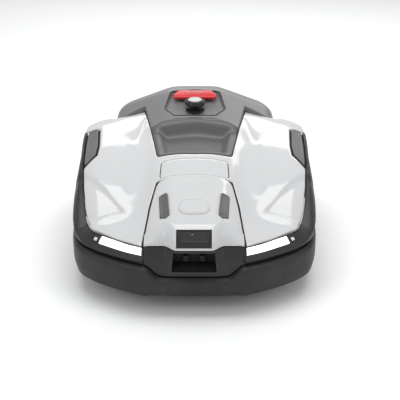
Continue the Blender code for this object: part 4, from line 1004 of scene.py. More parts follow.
def smoothPoint(points, t):  # a smooth curve through a table of plan points
    t = min(max(t, 0.0), len(points) - 1.0)
    i = min(int(t), len(points) - 2)
    near = [Vector(points[min(max(i + k, 0), len(points) - 1)]) for k in (-1, 0, 1, 2)]
    if i == 0:
        near[0] = 2 * near[1] - near[2]
    if i == len(points) - 2:
        near[3] = 2 * near[2] - near[1]
    return curveThrough(*near, t - i)


def frontShare(y):
    return float(ease((-0.215 - y) / 0.060))


def seamHeight(x, y):
    dip = 1 - float(ease((abs(x) - 0.070) / 0.040))
    return ringShape["seam"] - 0.004 * frontShare(y) - (ringShape["dip"] - 0.004) * dip * frontShare(y)


def archHeight(y):
    wheelY, wheelZ = ringShape["wheel"]
    reach = ringShape["archR"] ** 2 - (y - wheelY) ** 2
    return wheelZ + math.sqrt(reach) if reach > 0 else 0.0


def outwardOf(point, before, after):
    along = (after - before).normalized()
    turn = float(ease((abs(point.x) - 0.1085) / 0.060))
    return Vector((along.y * turn, -along.x * turn - (1 - turn))).normalized()


def frameSection(t):
    inner, outer = smoothPoint(ringShape["inner"], t), smoothPoint(ringShape["outer"], t)
    front = frontShare(outer.y)
    top = float(skinHeight(inner.x, inner.y)) - 0.0010
    low = max(seamHeight(outer.x, outer.y) + seam, archHeight(outer.y))
    low = min(low, top - 0.010)
    out = outwardOf(outer, smoothPoint(ringShape["outer"], t - 0.4),
                    smoothPoint(ringShape["outer"], t + 0.4))
    foot = outer - out * (0.005 + 0.008 * front)
    shoulder = inner.lerp(outer - out * 0.003, 0.62 - 0.10 * front)
    shoulderZ = top - (top - low) * (0.05 + 0.42 * front)
    face = outer - out * (0.0015 + 0.006 * front)
    faceZ = top - (top - low) * (0.30 + 0.45 * front)
    points = [Vector((*inner, top)), Vector((*shoulder, shoulderZ)), Vector((*face, faceZ)),
              Vector((*foot, low))]
    flat = Vector((out.x, out.y, 0))
    across = (points[1] - points[0]).normalized()
    return points, flat, (flat - across * flat.dot(across)).normalized()


def bendRound(points, radii, steps=4):
    bent = []
    for i, (here, radius) in enumerate(zip(points, radii)):
        before, after = points[i - 1] - here, points[(i + 1) % len(points)] - here
        if radius <= 0 or min(before.length, after.length) < 1e-7:
            bent += [here.copy() for _ in range(steps + 1)]
            continue
        reach = min(radius, 0.45 * before.length, 0.45 * after.length)
        start, end = here + before.normalized() * reach, here + after.normalized() * reach
        for k in range(steps + 1):
            t = k / steps
            bent.append((1 - t) ** 2 * start + 2 * t * (1 - t) * here + t**2 * end)
    return bent


def frameRing(t, side, lamp):
    (inner, shoulder, face, foot), flat, normal = frameSection(t)
    upper, lower, deep = (ringShape["lampUpper"] - 0.02, ringShape["lampLower"] + 0.015,
                          ringShape["lampDeep"]) if lamp else ringShape["groove"]
    a, b = inner.lerp(shoulder, upper), inner.lerp(shoulder, lower)
    points = [inner, a, a - normal * deep, b - normal * deep, b, shoulder, face, foot,
              foot - flat * 0.004, face - flat * 0.0045 - Vector((0, 0, 0.002)),
              shoulder - flat * 0.003 - Vector((0, 0, 0.0065)),
              inner - Vector((0, 0, 0.0065))]
    radii = [0.0012, 0.0005, 0.0004, 0.0004, 0.0005, 0.010, 0.008, 0.0014, 0.001, 0.002, 0.002, 0.0006]
    if not lamp:
        radii[5] = 0.006
    return [Vector((side * p.x, p.y, p.z)) for p in bendRound(points, radii)]


def buildSideFrames():
    last = len(ringShape["inner"]) - 1
    first, end = ringShape["lampFirst"] - 0.03, ringShape["lampLast"] + 0.03
    stops = [(first * k / 3, False) for k in range(3)] + [(first - 0.002, False)]
    stops += [(first + (end - first) * k / 44, True) for k in range(45)] + [(end + 0.002, False)]
    stops += [(end + (last - end) * k / ringShape["steps"], False)
              for k in range(1, ringShape["steps"] + 1)]
    for label, side in (("left", -1), ("right", 1)):
        frameBand = loftPiece(f"sideFrame_{label}", [frameRing(t, side, lamp) for t, lamp in stops],
                              "frameCharcoal", sharp=38)
        settle(frameBand, "cover", "charcoal_plastic", f"side_frame_{label}")


def lampStrip(name, side, first, last, upper, lower, proud, deep, look, steps=40, crown=0.0006):
    rings = []
    for k in range(steps + 1):
        (inner, shoulder, _, _), _, normal = frameSection(first + (last - first) * k / steps)
        a, b = inner.lerp(shoulder, upper), inner.lerp(shoulder, lower)
        middle = a.lerp(b, 0.5)
        points = [a + normal * proud, middle + normal * (proud + crown), b + normal * proud,
                  b - normal * deep, a - normal * deep]
        rings.append([Vector((side * p.x, p.y, p.z))
                      for p in bendRound(points, [0.0007, 0.004, 0.0007, 0.0003, 0.0003])])
    return loftPiece(name, rings, look, sharp=38)


def buildHeadlights():
    glowEnd, last = ringShape["lampGlowEnd"], ringShape["lampLast"]
    upper, lower = ringShape["lampUpper"], ringShape["lampLower"]
    for label, side in (("left", -1), ("right", 1)):
        strip = lampStrip(f"headlight_{label}", side, ringShape["lampFirst"], glowEnd, upper + 0.03,
                          lower - 0.03, 0.0004, 0.0018, "lampGlow")
        settle(strip, "cover", "lamp_white", f"headlight_lens_{label}")
        end = lampStrip(f"headlightEnd_{label}", side, glowEnd + 0.02, last, upper, lower, 0.0002, 0.0018,
                        "frameCharcoal", 12)
        settle(end, "cover", "charcoal_plastic")
        spot = lampStrip(f"headlightSpot_{label}", side, glowEnd + 0.22, glowEnd + 0.44, 0.46, 0.80, 0.0012,
                         0.001, "spotClear", 8, 0.0008)
        settle(spot, "cover", "lamp_white")


def buildBumper():
    spots = [Vector((x, -0.357 + 0.47 * x * x)) for x in bumperShape["front"]]
    last = 12.95
    spots += [smoothPoint(ringShape["outer"], last * k / 120) for k in range(121)]
    spots = [p for i, p in enumerate(spots) if i == 0 or (p - spots[i - 1]).length > 0.0012]
    rings = []
    for i, point in enumerate(spots):
        out = outwardOf(point, spots[max(i - 2, 0)], spots[min(i + 2, len(spots) - 1)])
        top = seamHeight(point.x, point.y) - seam
        ledge = 0.005 + 0.008 * frontShare(point.y)
        notch = float(ease((0.100 - abs(point.x)) / 0.008)) if point.y < -0.3 else 0.0
        band, foot, low = bumperShape["band"], bumperShape["foot"], bumperShape["clearance"]
        profile = [(-ledge, top), (-0.0012, top - 0.006), (0.0, top - band - 0.003), (0.0, foot + 0.006),
                   (-0.0014 - 0.002 * notch, foot - 0.003),
                   (-0.0045 - 0.003 * notch, low + 0.002 + 0.006 * notch), (-0.0055 - 0.004 * notch, low),
                   (-0.0100, low), (-0.0070, foot), (-0.0060, top - 0.018), (-ledge - 0.004, top - 0.0045)]
        radii = [0.0012, 0.0016, 0.0030, 0.006, 0.004, 0.002, 0.001, 0.001, 0.004, 0.003, 0.001]
        ring = bendRound([Vector((point.x + out.x * n, point.y + out.y * n, z)) for n, z in profile], radii)
        rings.append(ring)
    left = [[Vector((-p.x, p.y, p.z)) for p in ring] for ring in reversed(rings[1:])]
    bumper = loftPiece("bumperRing", left + rings, "bumperCharcoal", sharp=32)
    settle(bumper, "cover", "charcoal_plastic", "bumper")


buildSideFrames()
buildHeadlights()
buildBumper()
print("outer ring built")


# the nose
noseShape = dict(
    centre=((-0.129, 0.2300), (-0.170, 0.2225), (-0.230, 0.2130), (-0.290, 0.2035), (-0.316, 0.1970)),
    side=((0.0800, -0.1300), (0.0850, -0.139), (0.0900, -0.164), (0.0968, -0.202), (0.1035, -0.268),
          (0.1072, -0.322)),
    lip=0.1535, shell=0.0035,
    widths=(0.0, 0.006, 0.012, 0.018, 0.024, 0.030, 0.0345, 0.0372, 0.0376, 0.040, 0.043, 0.046, 0.049,
            0.052, 0.055, 0.058, 0.061, 0.064,
            0.067, 0.070, 0.074, 0.078, 0.082, 0.0855, 0.0885, 0.0915, 0.0945, 0.097, 0.0995, 0.102, 0.1045,
            0.1066),
    eyeHalf=0.0375, eyeLow=0.1580, eyeHigh=0.1920,
)


def tableValue(points, value, flip=False):
    keys, values = zip(*[(b, a) if flip else (a, b) for a, b in points])
    order = np.argsort(keys)
    return np.interp(value, np.array(keys)[order], np.array(values)[order])


def noseHeight(x, y):
    x, y = np.abs(np.asarray(x, float)), np.asarray(y, float)
    centre = tableValue(noseShape["centre"], y)
    edgeX = tableValue(noseShape["side"], y, True)
    edge = skinHeight(edgeX, y)
    return centre - (centre - edge) * np.minimum(1.0, x / edgeX) ** 4


def noseFront(x):
    return -0.3475 + 0.0225 * float(ease((abs(x) - 0.036) / 0.030))


def noseProfile(x, count=26):
    rear = float(tableValue(noseShape["side"], abs(x))) - seam / 2
    foot = noseFront(x)
    brow = foot + 0.033
    rear = max(rear, brow + 0.002)
    ys = [rear + (brow - rear) * (k / (count - 1)) for k in range(count)]
    points = [(y, float(noseHeight(x, y))) for y in ys]
    browZ = max(points[-1][1], noseShape["lip"] + 0.004)
    tall = browZ - noseShape["lip"]
    for share, lean in ((0.06, 0.02), (0.14, 0.055), (0.24, 0.10), (0.36, 0.165), (0.50, 0.26),
                        (0.62, 0.35),
                        (0.74, 0.46), (0.84, 0.59), (0.92, 0.74), (0.97, 0.87)):
        points.append((brow + (foot - brow) * share, browZ - tall * lean))
    chamfer = min(0.004, 0.3 * tall)
    points += [(foot + 0.0012, noseShape["lip"] + chamfer),
               (foot + 0.0002, noseShape["lip"] + chamfer * 0.6),
               (foot + 0.0006, noseShape["lip"] + 0.0006),
               (foot + 0.0016, noseShape["lip"])]
    return points


boxFaces = [(0, 1, 2, 3), (7, 6, 5, 4), (0, 4, 5, 1), (1, 5, 6, 2), (2, 6, 7, 3), (3, 7, 4, 0)]


def cutBox(piece, corners, look, sharp, soft=0.0,
           softAngle=0.0):  # a box cut away, with its rim softened where asked
    cutter = addPiece(piece.name + "Cut", corners, boxFaces, "smoothBlack")
    cut = piece.modifiers.new("cut", "BOOLEAN")
    cut.operation, cut.object, cut.solver = "DIFFERENCE", cutter, "EXACT"
    if soft:
        rim = piece.modifiers.new("softRim", "BEVEL")
        rim.width, rim.segments, rim.limit_method, rim.angle_limit = soft, 2, "ANGLE", math.radians(softAngle)
    mesh = bpy.data.meshes.new_from_object(piece.evaluated_get(bpy.context.evaluated_depsgraph_get()))
    piece.modifiers.clear()
    piece.data = mesh
    bpy.data.objects.remove(cutter)
    mesh.shade_smooth()
    mesh.set_sharp_from_angle(angle=math.radians(sharp))
    mesh.materials.clear()
    mesh.materials.append(looks[look])


def buildNoseCover():
    widths = [-x for x in reversed(noseShape["widths"][1:])] + list(noseShape["widths"])
    rings = []
    for x in widths:
        outer, under = noseProfile(x), []
        for i, (y, z) in enumerate(outer):
            before, after = outer[max(0, i - 1)], outer[min(len(outer) - 1, i + 1)]
            along = Vector((after[0] - before[0], after[1] - before[1])).normalized()
            under.append((y - along.y * noseShape["shell"],
                          max(noseShape["lip"] - 0.0003, z + along.x * noseShape["shell"])))
        rings.append([Vector((x, y, z)) for y, z in outer + under[::-1]])
    nose = loftPiece("noseShell", rings, "hoodWhite", sharp=40)
    low, high, half = noseShape["eyeLow"], noseShape["eyeHigh"], noseShape["eyeHalf"]
    corners = [(x, y, z) for x in (-half, half)
               for y, z in ((-0.37, low), (-0.295, low), (-0.295, high), (-0.37, high))]
    cutBox(nose, corners, "hoodWhite", 40)
    settle(nose, "cover", "gloss_white", "nose_cover")


def buildNosePanel():
    spots = [0.0, 0.010, 0.020, 0.030, 0.036, 0.040, 0.044, 0.048, 0.052, 0.056, 0.060, 0.064, 0.068, 0.072,
             0.077, 0.082, 0.087, 0.092, 0.097, 0.102, 0.1068]
    rings = []
    for x in [-v for v in reversed(spots[1:])] + spots:
        y, low = noseFront(x), seamHeight(x, -0.35) + seam
        top, foot = noseShape["lip"] - seam, -0.3455 + 0.0070 * float(ease((abs(x) - 0.040) / 0.067))
        face = min(y, foot) + 0.3 * abs(y - foot)
        mid = low + 0.60 * (top - low)
        points = [Vector(p) for p in ((x, y + 0.0012, top), (x, face - 0.0003, mid), (x, foot, low),
                                      (x, foot + 0.0050, low), (x, face + 0.0050, mid),
                                      (x, y + 0.0062, top))]
        rings.append(bendRound(points, [0.0012, 0.006, 0.0012, 0.0008, 0.004, 0.0008], 5))
    panel = loftPiece("nosePanel", rings, "frameCharcoal", sharp=32)
    high, low = 0.1475, 0.1025
    wallX = lambda z, deepShare: 0.049 - 0.004 * (z - low) / (high - low) - 0.004 * deepShare
    verts = [(s * wallX(z, d), y, z) for y, d in ((-0.36, 0.0), (-0.306, 1.0))
             for s, z in ((-1, low), (1, low), (1, high), (-1, high))]
    cutBox(panel, verts, "frameCharcoal", 32, 0.0009, 50)
    settle(panel, "cover", "charcoal_plastic", "nose_panel")
    wall, back = 0.0025, -0.3060
    rims = []
    for y, d in ((-0.3385, 0.25), (-0.325, 0.5), (back, 1.0)):
        rims.append([(s * wallX(z, d), y, z)
                     for s, z in ((-1, low + 0.004 * (y > -0.33)), (1, low + 0.004 * (y > -0.33)),
                                  (1, high),
                                  (-1, high))])
    outer = [[(p[0] + math.copysign(wall, p[0]), p[1] + (wall if i == 2 else 0),
               p[2] + (wall if p[2] > 0.12 else -wall)) for p in rim] for i, rim in enumerate(rims)]
    verts = [p for rim in rims + outer for p in rim]
    faces = [(8, 9, 10, 11)]
    for i in (0, 1):
        faces += [(4 * i + k, 4 * i + (k + 1) % 4, 4 * i + 4 + (k + 1) % 4, 4 * i + 4 + k)
                  for k in range(4)]
        faces += [(12 + 4 * i + k, 12 + 4 * i + 4 + k, 12 + 4 * i + 4 + (k + 1) % 4,
                   12 + 4 * i + (k + 1) % 4) for k in range(4)]
    faces += [(20, 21, 22, 23)[::-1]] + [(k, 12 + k, 12 + (k + 1) % 4, (k + 1) % 4) for k in range(4)]
    # the pocket's walls and floor are near-black: painted shade inside the recess
    pocket = addPiece("chargingPocket", verts, faces, "paintedShadeBlack", 30)
    settle(pocket, "cover", "charcoal_plastic")


eyeShape = dict(
    body=((-0.3215, 0.1917), (-0.3335, 0.1790), (-0.3415, 0.1660), (-0.3435, 0.1583), (-0.3150, 0.1583),
          (-0.3000, 0.1917)),
    half=0.0371, windowHalf=0.0290, windowLow=0.1713, windowHigh=0.1887,
)


def buildCameraHousing():
    section = bendRound([Vector((0, y, z)) for y, z in eyeShape["body"]],
                        [0.0015, 0.006, 0.004, 0.0012, 0.001, 0.001])
    rings = []
    for x, shrink in ((-eyeShape["half"], 0.0006), (-eyeShape["half"] + 0.0008, 0.0), (0.0, 0.0),
                      (eyeShape["half"] - 0.0008, 0.0), (eyeShape["half"], 0.0006)):
        rings.append([Vector((x, p.y + shrink, p.z)) for p in section])
    housing = loftPiece("cameraHousing", rings, "frameCharcoal", sharp=32)
    wide, low, high = eyeShape["windowHalf"], eyeShape["windowLow"], eyeShape["windowHigh"]
    verts = [(s * (wide - 0.002 * d), y, z) for y, d in ((-0.36, 0), (-0.318, 1))
             for s, z in ((-1, low), (1, low), (1, high), (-1, high))]
    cutBox(housing, verts, "frameCharcoal", 32, 0.0006, 45)
    settle(housing, "cover", "black_plastic", "camera_housing")
    glass = [(-0.3228, 0.1886), (-0.3322, 0.1786), (-0.3362, 0.1715), (-0.3190, 0.1715), (-0.3190, 0.1886)]
    rings = [[Vector((x, y, z)) for y, z in glass] for x in (-0.0287, -0.0284, 0.0284, 0.0287)]
    window = loftPiece("cameraWindow", rings, "lensGlass", sharp=30)
    settle(window, "cover", "smoked_window", "camera_window")
    light = turnedPiece("statusLight", [(0.0, -0.0010), (0.0030, -0.0010), (0.0030, 0.0002),
                                        (0.0022, 0.0006), (0.0, 0.0007)], (0, 0, 0), "statusGreen", "Z", 24,
                                        0.0003)
    for vert in light.data.vertices:
        x, y, z = vert.co
        vert.co = Vector((x - 0.0035, -0.3285 - z * 0.73 - y * 0.68, 0.1825 + z * 0.68 + y * 0.73))
    settle(light, "cover", "lamp_white")


padOutline = ((0.0785, -0.1970), (0.0625, -0.1930), (0.0585, -0.1980), (0.0525, -0.2760), (0.0605, -0.2860),
              (0.0735, -0.2790))
sensorShape = dict(proud=0.0050, border=0.0030, rise=0.0012, deep=0.0075)
badgeShape = dict(wide=0.034, long=0.029, middle=-0.249, proud=0.0022, groove=0.0022, ringDeep=0.0009)


def buildSensorPads():
    for label, side in (("left", -1), ("right", 1)):
        loop = evenLoop(facingUp([Vector((side * x, y)) for x, y in padOutline]), 0.003)
        inner = insetLoop(loop, sensorShape["border"])
        line = closedLine(inner)

        def height(x, y, inner=inner, line=line):
            share = np.where(insideLoop(x, y, inner), ease(awayFromLine(x, y, line) / 0.0016), 0.0)
            end = ease((-0.268 - y) / 0.016)
            return noseHeight(x, y) + sensorShape["proud"] * (1 - 0.55 * end) - sensorShape["rise"] * share

        pad = finePanel(f"sensorPad_{label}", loop, height, "sensorGrey", (),
                        [inner, insetLoop(inner, 0.0016)], 0.004, 0.0016, sensorShape["deep"])
        settle(pad, "cover", "black_plastic", f"sensor_pad_{label}")


def buildBadge():
    wide, long, middle = badgeShape["wide"], badgeShape["long"], badgeShape["middle"]
    turns = [2 * math.pi * k / 96 for k in range(96)]
    power = lambda v: math.copysign(abs(v) ** 0.72, v)
    loop = [Vector((wide * power(math.cos(a)), middle + long * power(math.sin(a)))) for a in turns]
    outer, inner = insetLoop(loop, badgeShape["groove"]), insetLoop(loop, 2 * badgeShape["groove"])
    lineOut, lineIn = closedLine(outer), closedLine(inner)

    def height(x, y):
        between = insideLoop(x, y, outer) & ~insideLoop(x, y, inner)
        near = np.minimum(awayFromLine(x, y, lineOut), awayFromLine(x, y, lineIn))
        return noseHeight(x, y) + badgeShape["proud"] - badgeShape["ringDeep"] * np.where(between,
                ease(near / 0.0006), 0.0)

    middleLine = insetLoop(loop, 1.5 * badgeShape["groove"])
    badge = finePanel("noseBadge", loop, height, "hoodWhite", (),
                      [outer, insetLoop(loop, 1.25 * badgeShape["groove"]), middleLine,
                       insetLoop(loop, 1.75 * badgeShape["groove"]), inner], 0.0045, 0.0009, 0.0026)
    settle(badge, "cover", "gloss_white", "nose_badge")


buildNoseCover()
buildNosePanel()
buildCameraHousing()
buildSensorPads()
buildBadge()
print("nose built")


# near-black liners that close the seams from inside: painted shade seen through the gaps
def buildSeamLiner():
    spots = [Vector((x, -0.357 + 0.47 * x * x))
             for x in (0.0, 0.02, 0.04, 0.055, 0.065, 0.075, 0.085, 0.095)]
    spots += [smoothPoint(ringShape["outer"], 12.9 * k / 70) for k in range(71)]
    rings = []
    for i, point in enumerate(spots):
        out = outwardOf(point, spots[max(i - 1, 0)], spots[min(i + 1, len(spots) - 1)])
        level = seamHeight(point.x, point.y)
        nearNose = float(ease((0.106 - abs(point.x)) / 0.006))
        back = 0.005 + 0.008 * frontShare(point.y) + 0.0048 + 0.0035 * nearNose
        profile = [(-back, level - 0.016), (-back, level + 0.010), (-back - 0.0012, level + 0.010),
                   (-back - 0.0012, level - 0.016)]
        rings.append([Vector((point.x + out.x * n, point.y + out.y * n, z)) for n, z in profile])
    left = [[Vector((-p.x, p.y, p.z)) for p in ring] for ring in reversed(rings[1:])]
    liner = loftPiece("seamLiner", left + rings, "paintedShadeBlack")
    settle(liner, "cover", "charcoal_plastic")


def buildHoodLiner():  # a near-black skin a few millimetres under every panel seam: painted shade seen through the gaps
    half = ((0.0, -0.118, 0.0), (0.078, -0.116, 0.0), (0.092, -0.200, 0.0), (0.099, -0.315, 0.0),
            (0.112, -0.316, 0.0), (0.170, -0.279, 0.10), (0.222, -0.236, 0.012),
            (0.240, -0.183, 0.10), (0.2535, -0.100, 0.1), (0.259, -0.048, 0.0), (0.266, 0.020, 0.0),
            (0.268, 0.128, 0.0), (0.230, 0.126, 0.0), (0.222, 0.030, 0.0),
            (0.215, -0.060, 0.02), (0.200, -0.190, 0.05), (0.125, -0.230, 0.05), (0.116, -0.100, 0.04),
            (0.118, 0.095, 0.0), (0.140, 0.200, 0.0), (0.118, 0.206, 0.0), (0.094, 0.098, 0.0),
            (0.076, -0.042, 0.014), (0.0, -0.045, 0.0))
    for label, side in (("left", -1), ("right", 1)):
        loop = facingUp([Vector((side * p.x, p.y)) for p in roundedLine(half)])
        liner = finePanel(f"hoodLiner_{label}", loop, lambda x,
                          y: np.minimum(skinHeight(x, y), noseHeight(x,
                                  y) + (np.abs(x) > 0.11) * 0.1) - 0.0055, "paintedShadeBlack", (), (), 0.012,
                                  0.0002,
                                  0.0012)
        settle(liner, "cover", "charcoal_plastic")


buildSeamLiner()
buildHoodLiner()
print("liners built")


# drive wheels
wheelShape = dict(y=0.170, z=0.105, inner=0.207, outer=0.262, radius=0.105, lugs=30, spokes=5)


def buildWheels():
    inner, outer, r = wheelShape["inner"], wheelShape["outer"], wheelShape["radius"]
    place = (0.0, wheelShape["y"], wheelShape["z"])
    for label, side in (("left", -1), ("right", 1)):
        at = lambda points: [(radius, side * x) for radius, x in points]
        body = f"drive_wheel_{label}"
        tyre = [(0.0908, inner + 0.002), (0.0965, inner + 0.0006), (r - 0.0065, inner + 0.003),
                (r - 0.0052, inner + 0.012), (r - 0.0052, outer - 0.012),
                (r - 0.0065, outer - 0.003), (0.0965, outer - 0.0006), (0.0908, outer - 0.002)]
        tread = turnedPiece(f"tyre_{label}", at(tyre), place, "tyreRubber", "X", 96, 0.0022)
        settle(tread, body, "tyre_rubber", f"tyre_{label}")
        middle = (inner + outer) / 2
        for row, (shift, phase, lean) in enumerate(((-0.0135, 0.0, 0.42),
                                                    (0.0135, math.pi / wheelShape["lugs"], -0.42))):
            lugs = ringPiece(f"tyreLugs_{label}_{row + 1}",
                             (side * middle, wheelShape["y"], wheelShape["z"]), "tyreRubber", "X",
                             Count=wheelShape["lugs"], Radius=r - 0.0034, Height=side * shift, Sides=8,
                             Foot=0.0074, Tip=0.0066, Length=0.0255,
                             Stretch=(0.46, 0.92, 1.0), Lean=(lean, 0.0, 0.0), Phase=phase)
            settle(lugs, body, "tyre_rubber")
        rim = [(0.0, 0.1550), (0.0060, 0.1550), (0.0060, inner), (0.0200, inner), (0.0200, inner + 0.020),
               (0.0600, inner + 0.026),
               (0.0820, inner + 0.004), (0.0905, inner + 0.004), (0.0905, outer - 0.0058),
               (0.0870, outer - 0.0050), (0.0840, outer - 0.0062),
               (0.0815, outer - 0.0160), (0.0760, outer - 0.0185), (0.0340, outer - 0.0150),
               (0.0270, outer - 0.0060), (0.0225, outer - 0.0032), (0.0, outer - 0.0032)]
        disc = turnedPiece(f"wheelRim_{label}", at(rim), place, "rimGrey", "X", 96, 0.0014)
        settle(disc, body, "dark_grey", f"wheel_rim_{label}")
        spokes = ringPiece(f"rimSpokes_{label}",
                           (side * (outer - 0.0155), wheelShape["y"], wheelShape["z"]),
                           "rimGrey", "X",
                           Count=wheelShape["spokes"], Radius=0.0550, Height=0.0, Sides=4, Foot=0.0075,
                           Tip=0.0050, Length=0.0500,
                           Lean=(0.0, math.pi / 2, 0.0), Stretch=(1.0, 1.0, 0.85))
        settle(spokes, body, "dark_grey")
        bolts = ringPiece(f"rimBolts_{label}", (side * (outer - 0.0026), wheelShape["y"], wheelShape["z"]),
                          "bladeSteel", "X",
                          Count=3, Radius=0.0125, Height=0.0, Sides=6, Foot=0.0030, Tip=0.0028,
                          Length=0.0022)
        settle(bolts, body, "bright_steel")


# rear apron with its vents
apronShape = dict(
    line=((0.0, 0.3578), (0.020, 0.3576), (0.040, 0.3571), (0.060, 0.3562), (0.080, 0.3548),
          (0.103, 0.3518),
          (0.125, 0.3472), (0.146, 0.3388),
          (0.163, 0.3285), (0.178, 0.309), (0.186, 0.298), (0.189, 0.287)),
    vents=9, ventGap=0.0135,
)


def buildApron():
    half = [smoothPoint(apronShape["line"], (len(apronShape["line"]) - 1) * k / 44) for k in range(45)]
    rings = []
    for i, point in enumerate(half):
        along = (half[min(i + 1, len(half) - 1)] - half[max(i - 1, 0)]).normalized()
        out = Vector((-along.y, along.x)) if i else Vector((0, 1))
        out = -out if out.dot(point - Vector((0, 0.2))) < 0 else out
        top = float(rearHeight(point.x, point.y)) - 0.0065
        profile = [(-0.004, top), (-0.002, top - 0.030), (-0.002, 0.150), (-0.0032, 0.147),
                   (-0.0032, 0.143),
                   (-0.0022, 0.140), (-0.004, 0.095), (-0.012, 0.070), (-0.0155, 0.070),
                   (-0.0080, 0.095), (-0.0060, top - 0.030), (-0.0080, top)]
        rings.append(bendRound([Vector((point.x + out.x * n, point.y + out.y * n, z)) for n, z in profile],
                               [0.001, 0.008, 0.001, 0.0008, 0.0008, 0.001, 0.010, 0.001, 0.001, 0.006,
                                0.006, 0.001]))
    left = [[Vector((-p.x, p.y, p.z)) for p in ring] for ring in reversed(rings[1:])]
    apron = loftPiece("rearApron", left + rings, "frameCharcoal", sharp=32)
    settle(apron, "cover", "charcoal_plastic", "rear_apron")
    count = apronShape["vents"]
    for k in range(count):
        x = (k - (count - 1) / 2) * apronShape["ventGap"]
        y = float(np.interp(abs(x), [p[0] for p in apronShape["line"]],
                            [p[1] for p in apronShape["line"]])) - 0.0024
        slot = roundedSection([(-0.0030, -0.016), (0.0030, -0.016), (0.0030, 0.016), (-0.0030, 0.016)],
                              [0.003] * 4, 5)
        rings = [[Vector((x + p.x * s, y + d, 0.200 + p.y * s)) for p in slot]
                 for s, d in ((1.0, -0.001), (1.0, 0.0006), (0.86, 0.0009), (0.72, 0.0002))]
        # near-black vent slots: painted shade inside the openings
        vent = loftPiece(f"rearVent_{k + 1}", rings, "paintedShadeBlack", sharp=30)
        settle(vent, "cover", "charcoal_plastic")


# underside: casters, screws, skid plate ribs
underShape = dict(casterX=0.150, casterY=-0.215, trail=0.026, casterR=0.040, half=0.013,
                  disc=(-0.020, 0.046), floors=(0.098, 0.080, 0.060))


def buildCasterWheels():
    r, half = underShape["casterR"], underShape["half"]
    for label, side in (("left", -1), ("right", 1)):
        centre = (side * underShape["casterX"], underShape["casterY"] + underShape["trail"], r)
        tread = [(0.0043, -half), (0.0120, -half), (0.0140, -half + 0.0022), (0.0270, -half + 0.0026),
                 (0.0300, -half + 0.001), (0.0370, -half + 0.0015), (r, -half + 0.005),
                 (r, -0.0026), (r - 0.0009, -0.0018), (r - 0.0009, 0.0018), (r, 0.0026), (r, half - 0.005),
                 (0.0370, half - 0.0015), (0.0300, half - 0.001), (0.0270, half - 0.0026),
                 (0.0140, half - 0.0022), (0.0120, half), (0.0043, half)]
        wheel = turnedPiece(f"casterWheel_{label}", tread, centre, "tyreRubber", "X", 72, 0.0012)
        settle(wheel, f"caster_roller_{label}", "tyre_rubber", f"caster_wheel_{label}")


def buildScrews():
    rows = {"chassis": ([(-0.170, -0.235, 0), (0.170, -0.235, 0), (-0.170, -0.160, 0), (0.170, -0.160, 0),
                         (-0.172, -0.120, 1), (0.172, -0.120, 1),
                         (-0.172, 0.090, 1), (0.172, 0.090, 1), (-0.110, 0.135, 2), (0.110, 0.135, 2),
                         (-0.110, 0.250, 2), (0.110, 0.250, 2)])}
    for spots in rows.values():
        for k, (x, y, level) in enumerate(spots):
            floor = underShape["floors"][level]
            head = turnedPiece(f"baseScrew_{k + 1}",
                               [(0.0, -0.0018), (0.0030, -0.0018), (0.0044, -0.0006), (0.0044, 0.0006),
                                (0.0, 0.0006)], (x, y, floor), "bladeSteel", "Z", 20, 0.0003)
            settle(head, "chassis", "bright_steel")
            cross = []
            for wide, long in ((0.0004, 0.0019), (0.0019, 0.0004)):
                cross.append([(x - wide, y - long), (x + wide, y - long), (x + wide, y + long),
                              (x - wide, y + long)])
            verts, faces = [], []
            for outline in cross:
                base = len(verts)
                verts += [(px, py, floor - 0.00190) for px, py in outline] + [(px, py, floor - 0.0012)
                        for px, py in outline]
                faces += [tuple(base + v for v in f)
                          for f in ((3, 2, 1, 0), (4, 5, 6, 7), (0, 1, 5, 4), (1, 2, 6, 5), (2, 3, 7, 6),
                                    (3, 0, 4, 7))]
            # near-black cross slots: painted shade in the screw recesses
            slot = addPiece(f"baseScrewSlot_{k + 1}", verts, faces, "paintedShadeBlack")
            settle(slot, "chassis", "bright_steel")


def buildUnderside():
    y, z = underShape["disc"]
    skid = [(0.0043, -0.0100), (0.0180, -0.0100), (0.0640, -0.0075), (0.0695, -0.0115), (0.0690, -0.0128),
            (0.0600, -0.0158), (0.0420, -0.0160), (0.0410, -0.0150),
            (0.0380, -0.0150), (0.0370, -0.0160), (0.0150, -0.0160), (0.0, -0.0160), (0.0, -0.0143),
            (0.0043, -0.0143)]
    plate = turnedPiece("skidPlate", skid, (0, y, z), "smoothBlack", "Z", 96, 0.0010)
    settle(plate, "skid", "black_plastic", "skid_plate")
    ribs = ringPiece("skidRibs", (0, y, z), "smoothBlack", Count=12, Radius=0.0270, Height=-0.0158, Sides=4,
                     Foot=0.0016, Tip=0.0012, Length=0.0180,
                     Lean=(0.0, math.pi / 2, 0.0), Stretch=(1.0, 1.0, 0.5))
    settle(ribs, "skid", "black_plastic")
    # near-black dimples on the steel disc: painted shade in the hollows
    dimples = ringPiece("discDimples", (0, y, z), "paintedShadeBlack", Count=9, Radius=0.0780, Height=0.0041,
                        Sides=16, Foot=0.0060, Tip=0.0056, Length=0.0006, Phase=math.pi / 9)
    settle(dimples, "disc", "bright_steel")
    flange = ringPiece("motorScrews", (0, y, z), "bladeSteel", Count=6, Radius=0.0480, Height=0.0600,
                       Sides=6, Foot=0.0028, Tip=0.0026, Length=0.0016)
    settle(flange, "cutting_unit", "bright_steel")


buildWheels()
buildApron()
buildCasterWheels()
buildScrews()
buildUnderside()
print("wheels and underside built")


# every other CAD piece gets a surface
slotLooks = {
    "gloss_white": "hoodWhite", "charcoal_plastic": "frameCharcoal", "satin_grey": "satinGrey",
    "dark_grey": "chassisBlack",
    "pad_grey": "padGrey", "black_plastic": "smoothBlack", "smoked_window": "lampDark",
    "signal_red": "stopRed",
    "cap_grey": "capGrey", "lamp_white": "lampGlow", "tyre_rubber": "tyreRubber",
    "bright_steel": "bladeSteel",
    "motor_case": "motorMetal", "contact_metal": "shadedContactMetal", "board_green": "boardGreen",
}
nodeLooks = {"chassis_tub": "chassisBlack", "wheel_rim_left": "rimGrey", "wheel_rim_right": "rimGrey",
             "camera_window": "lensGlass"}


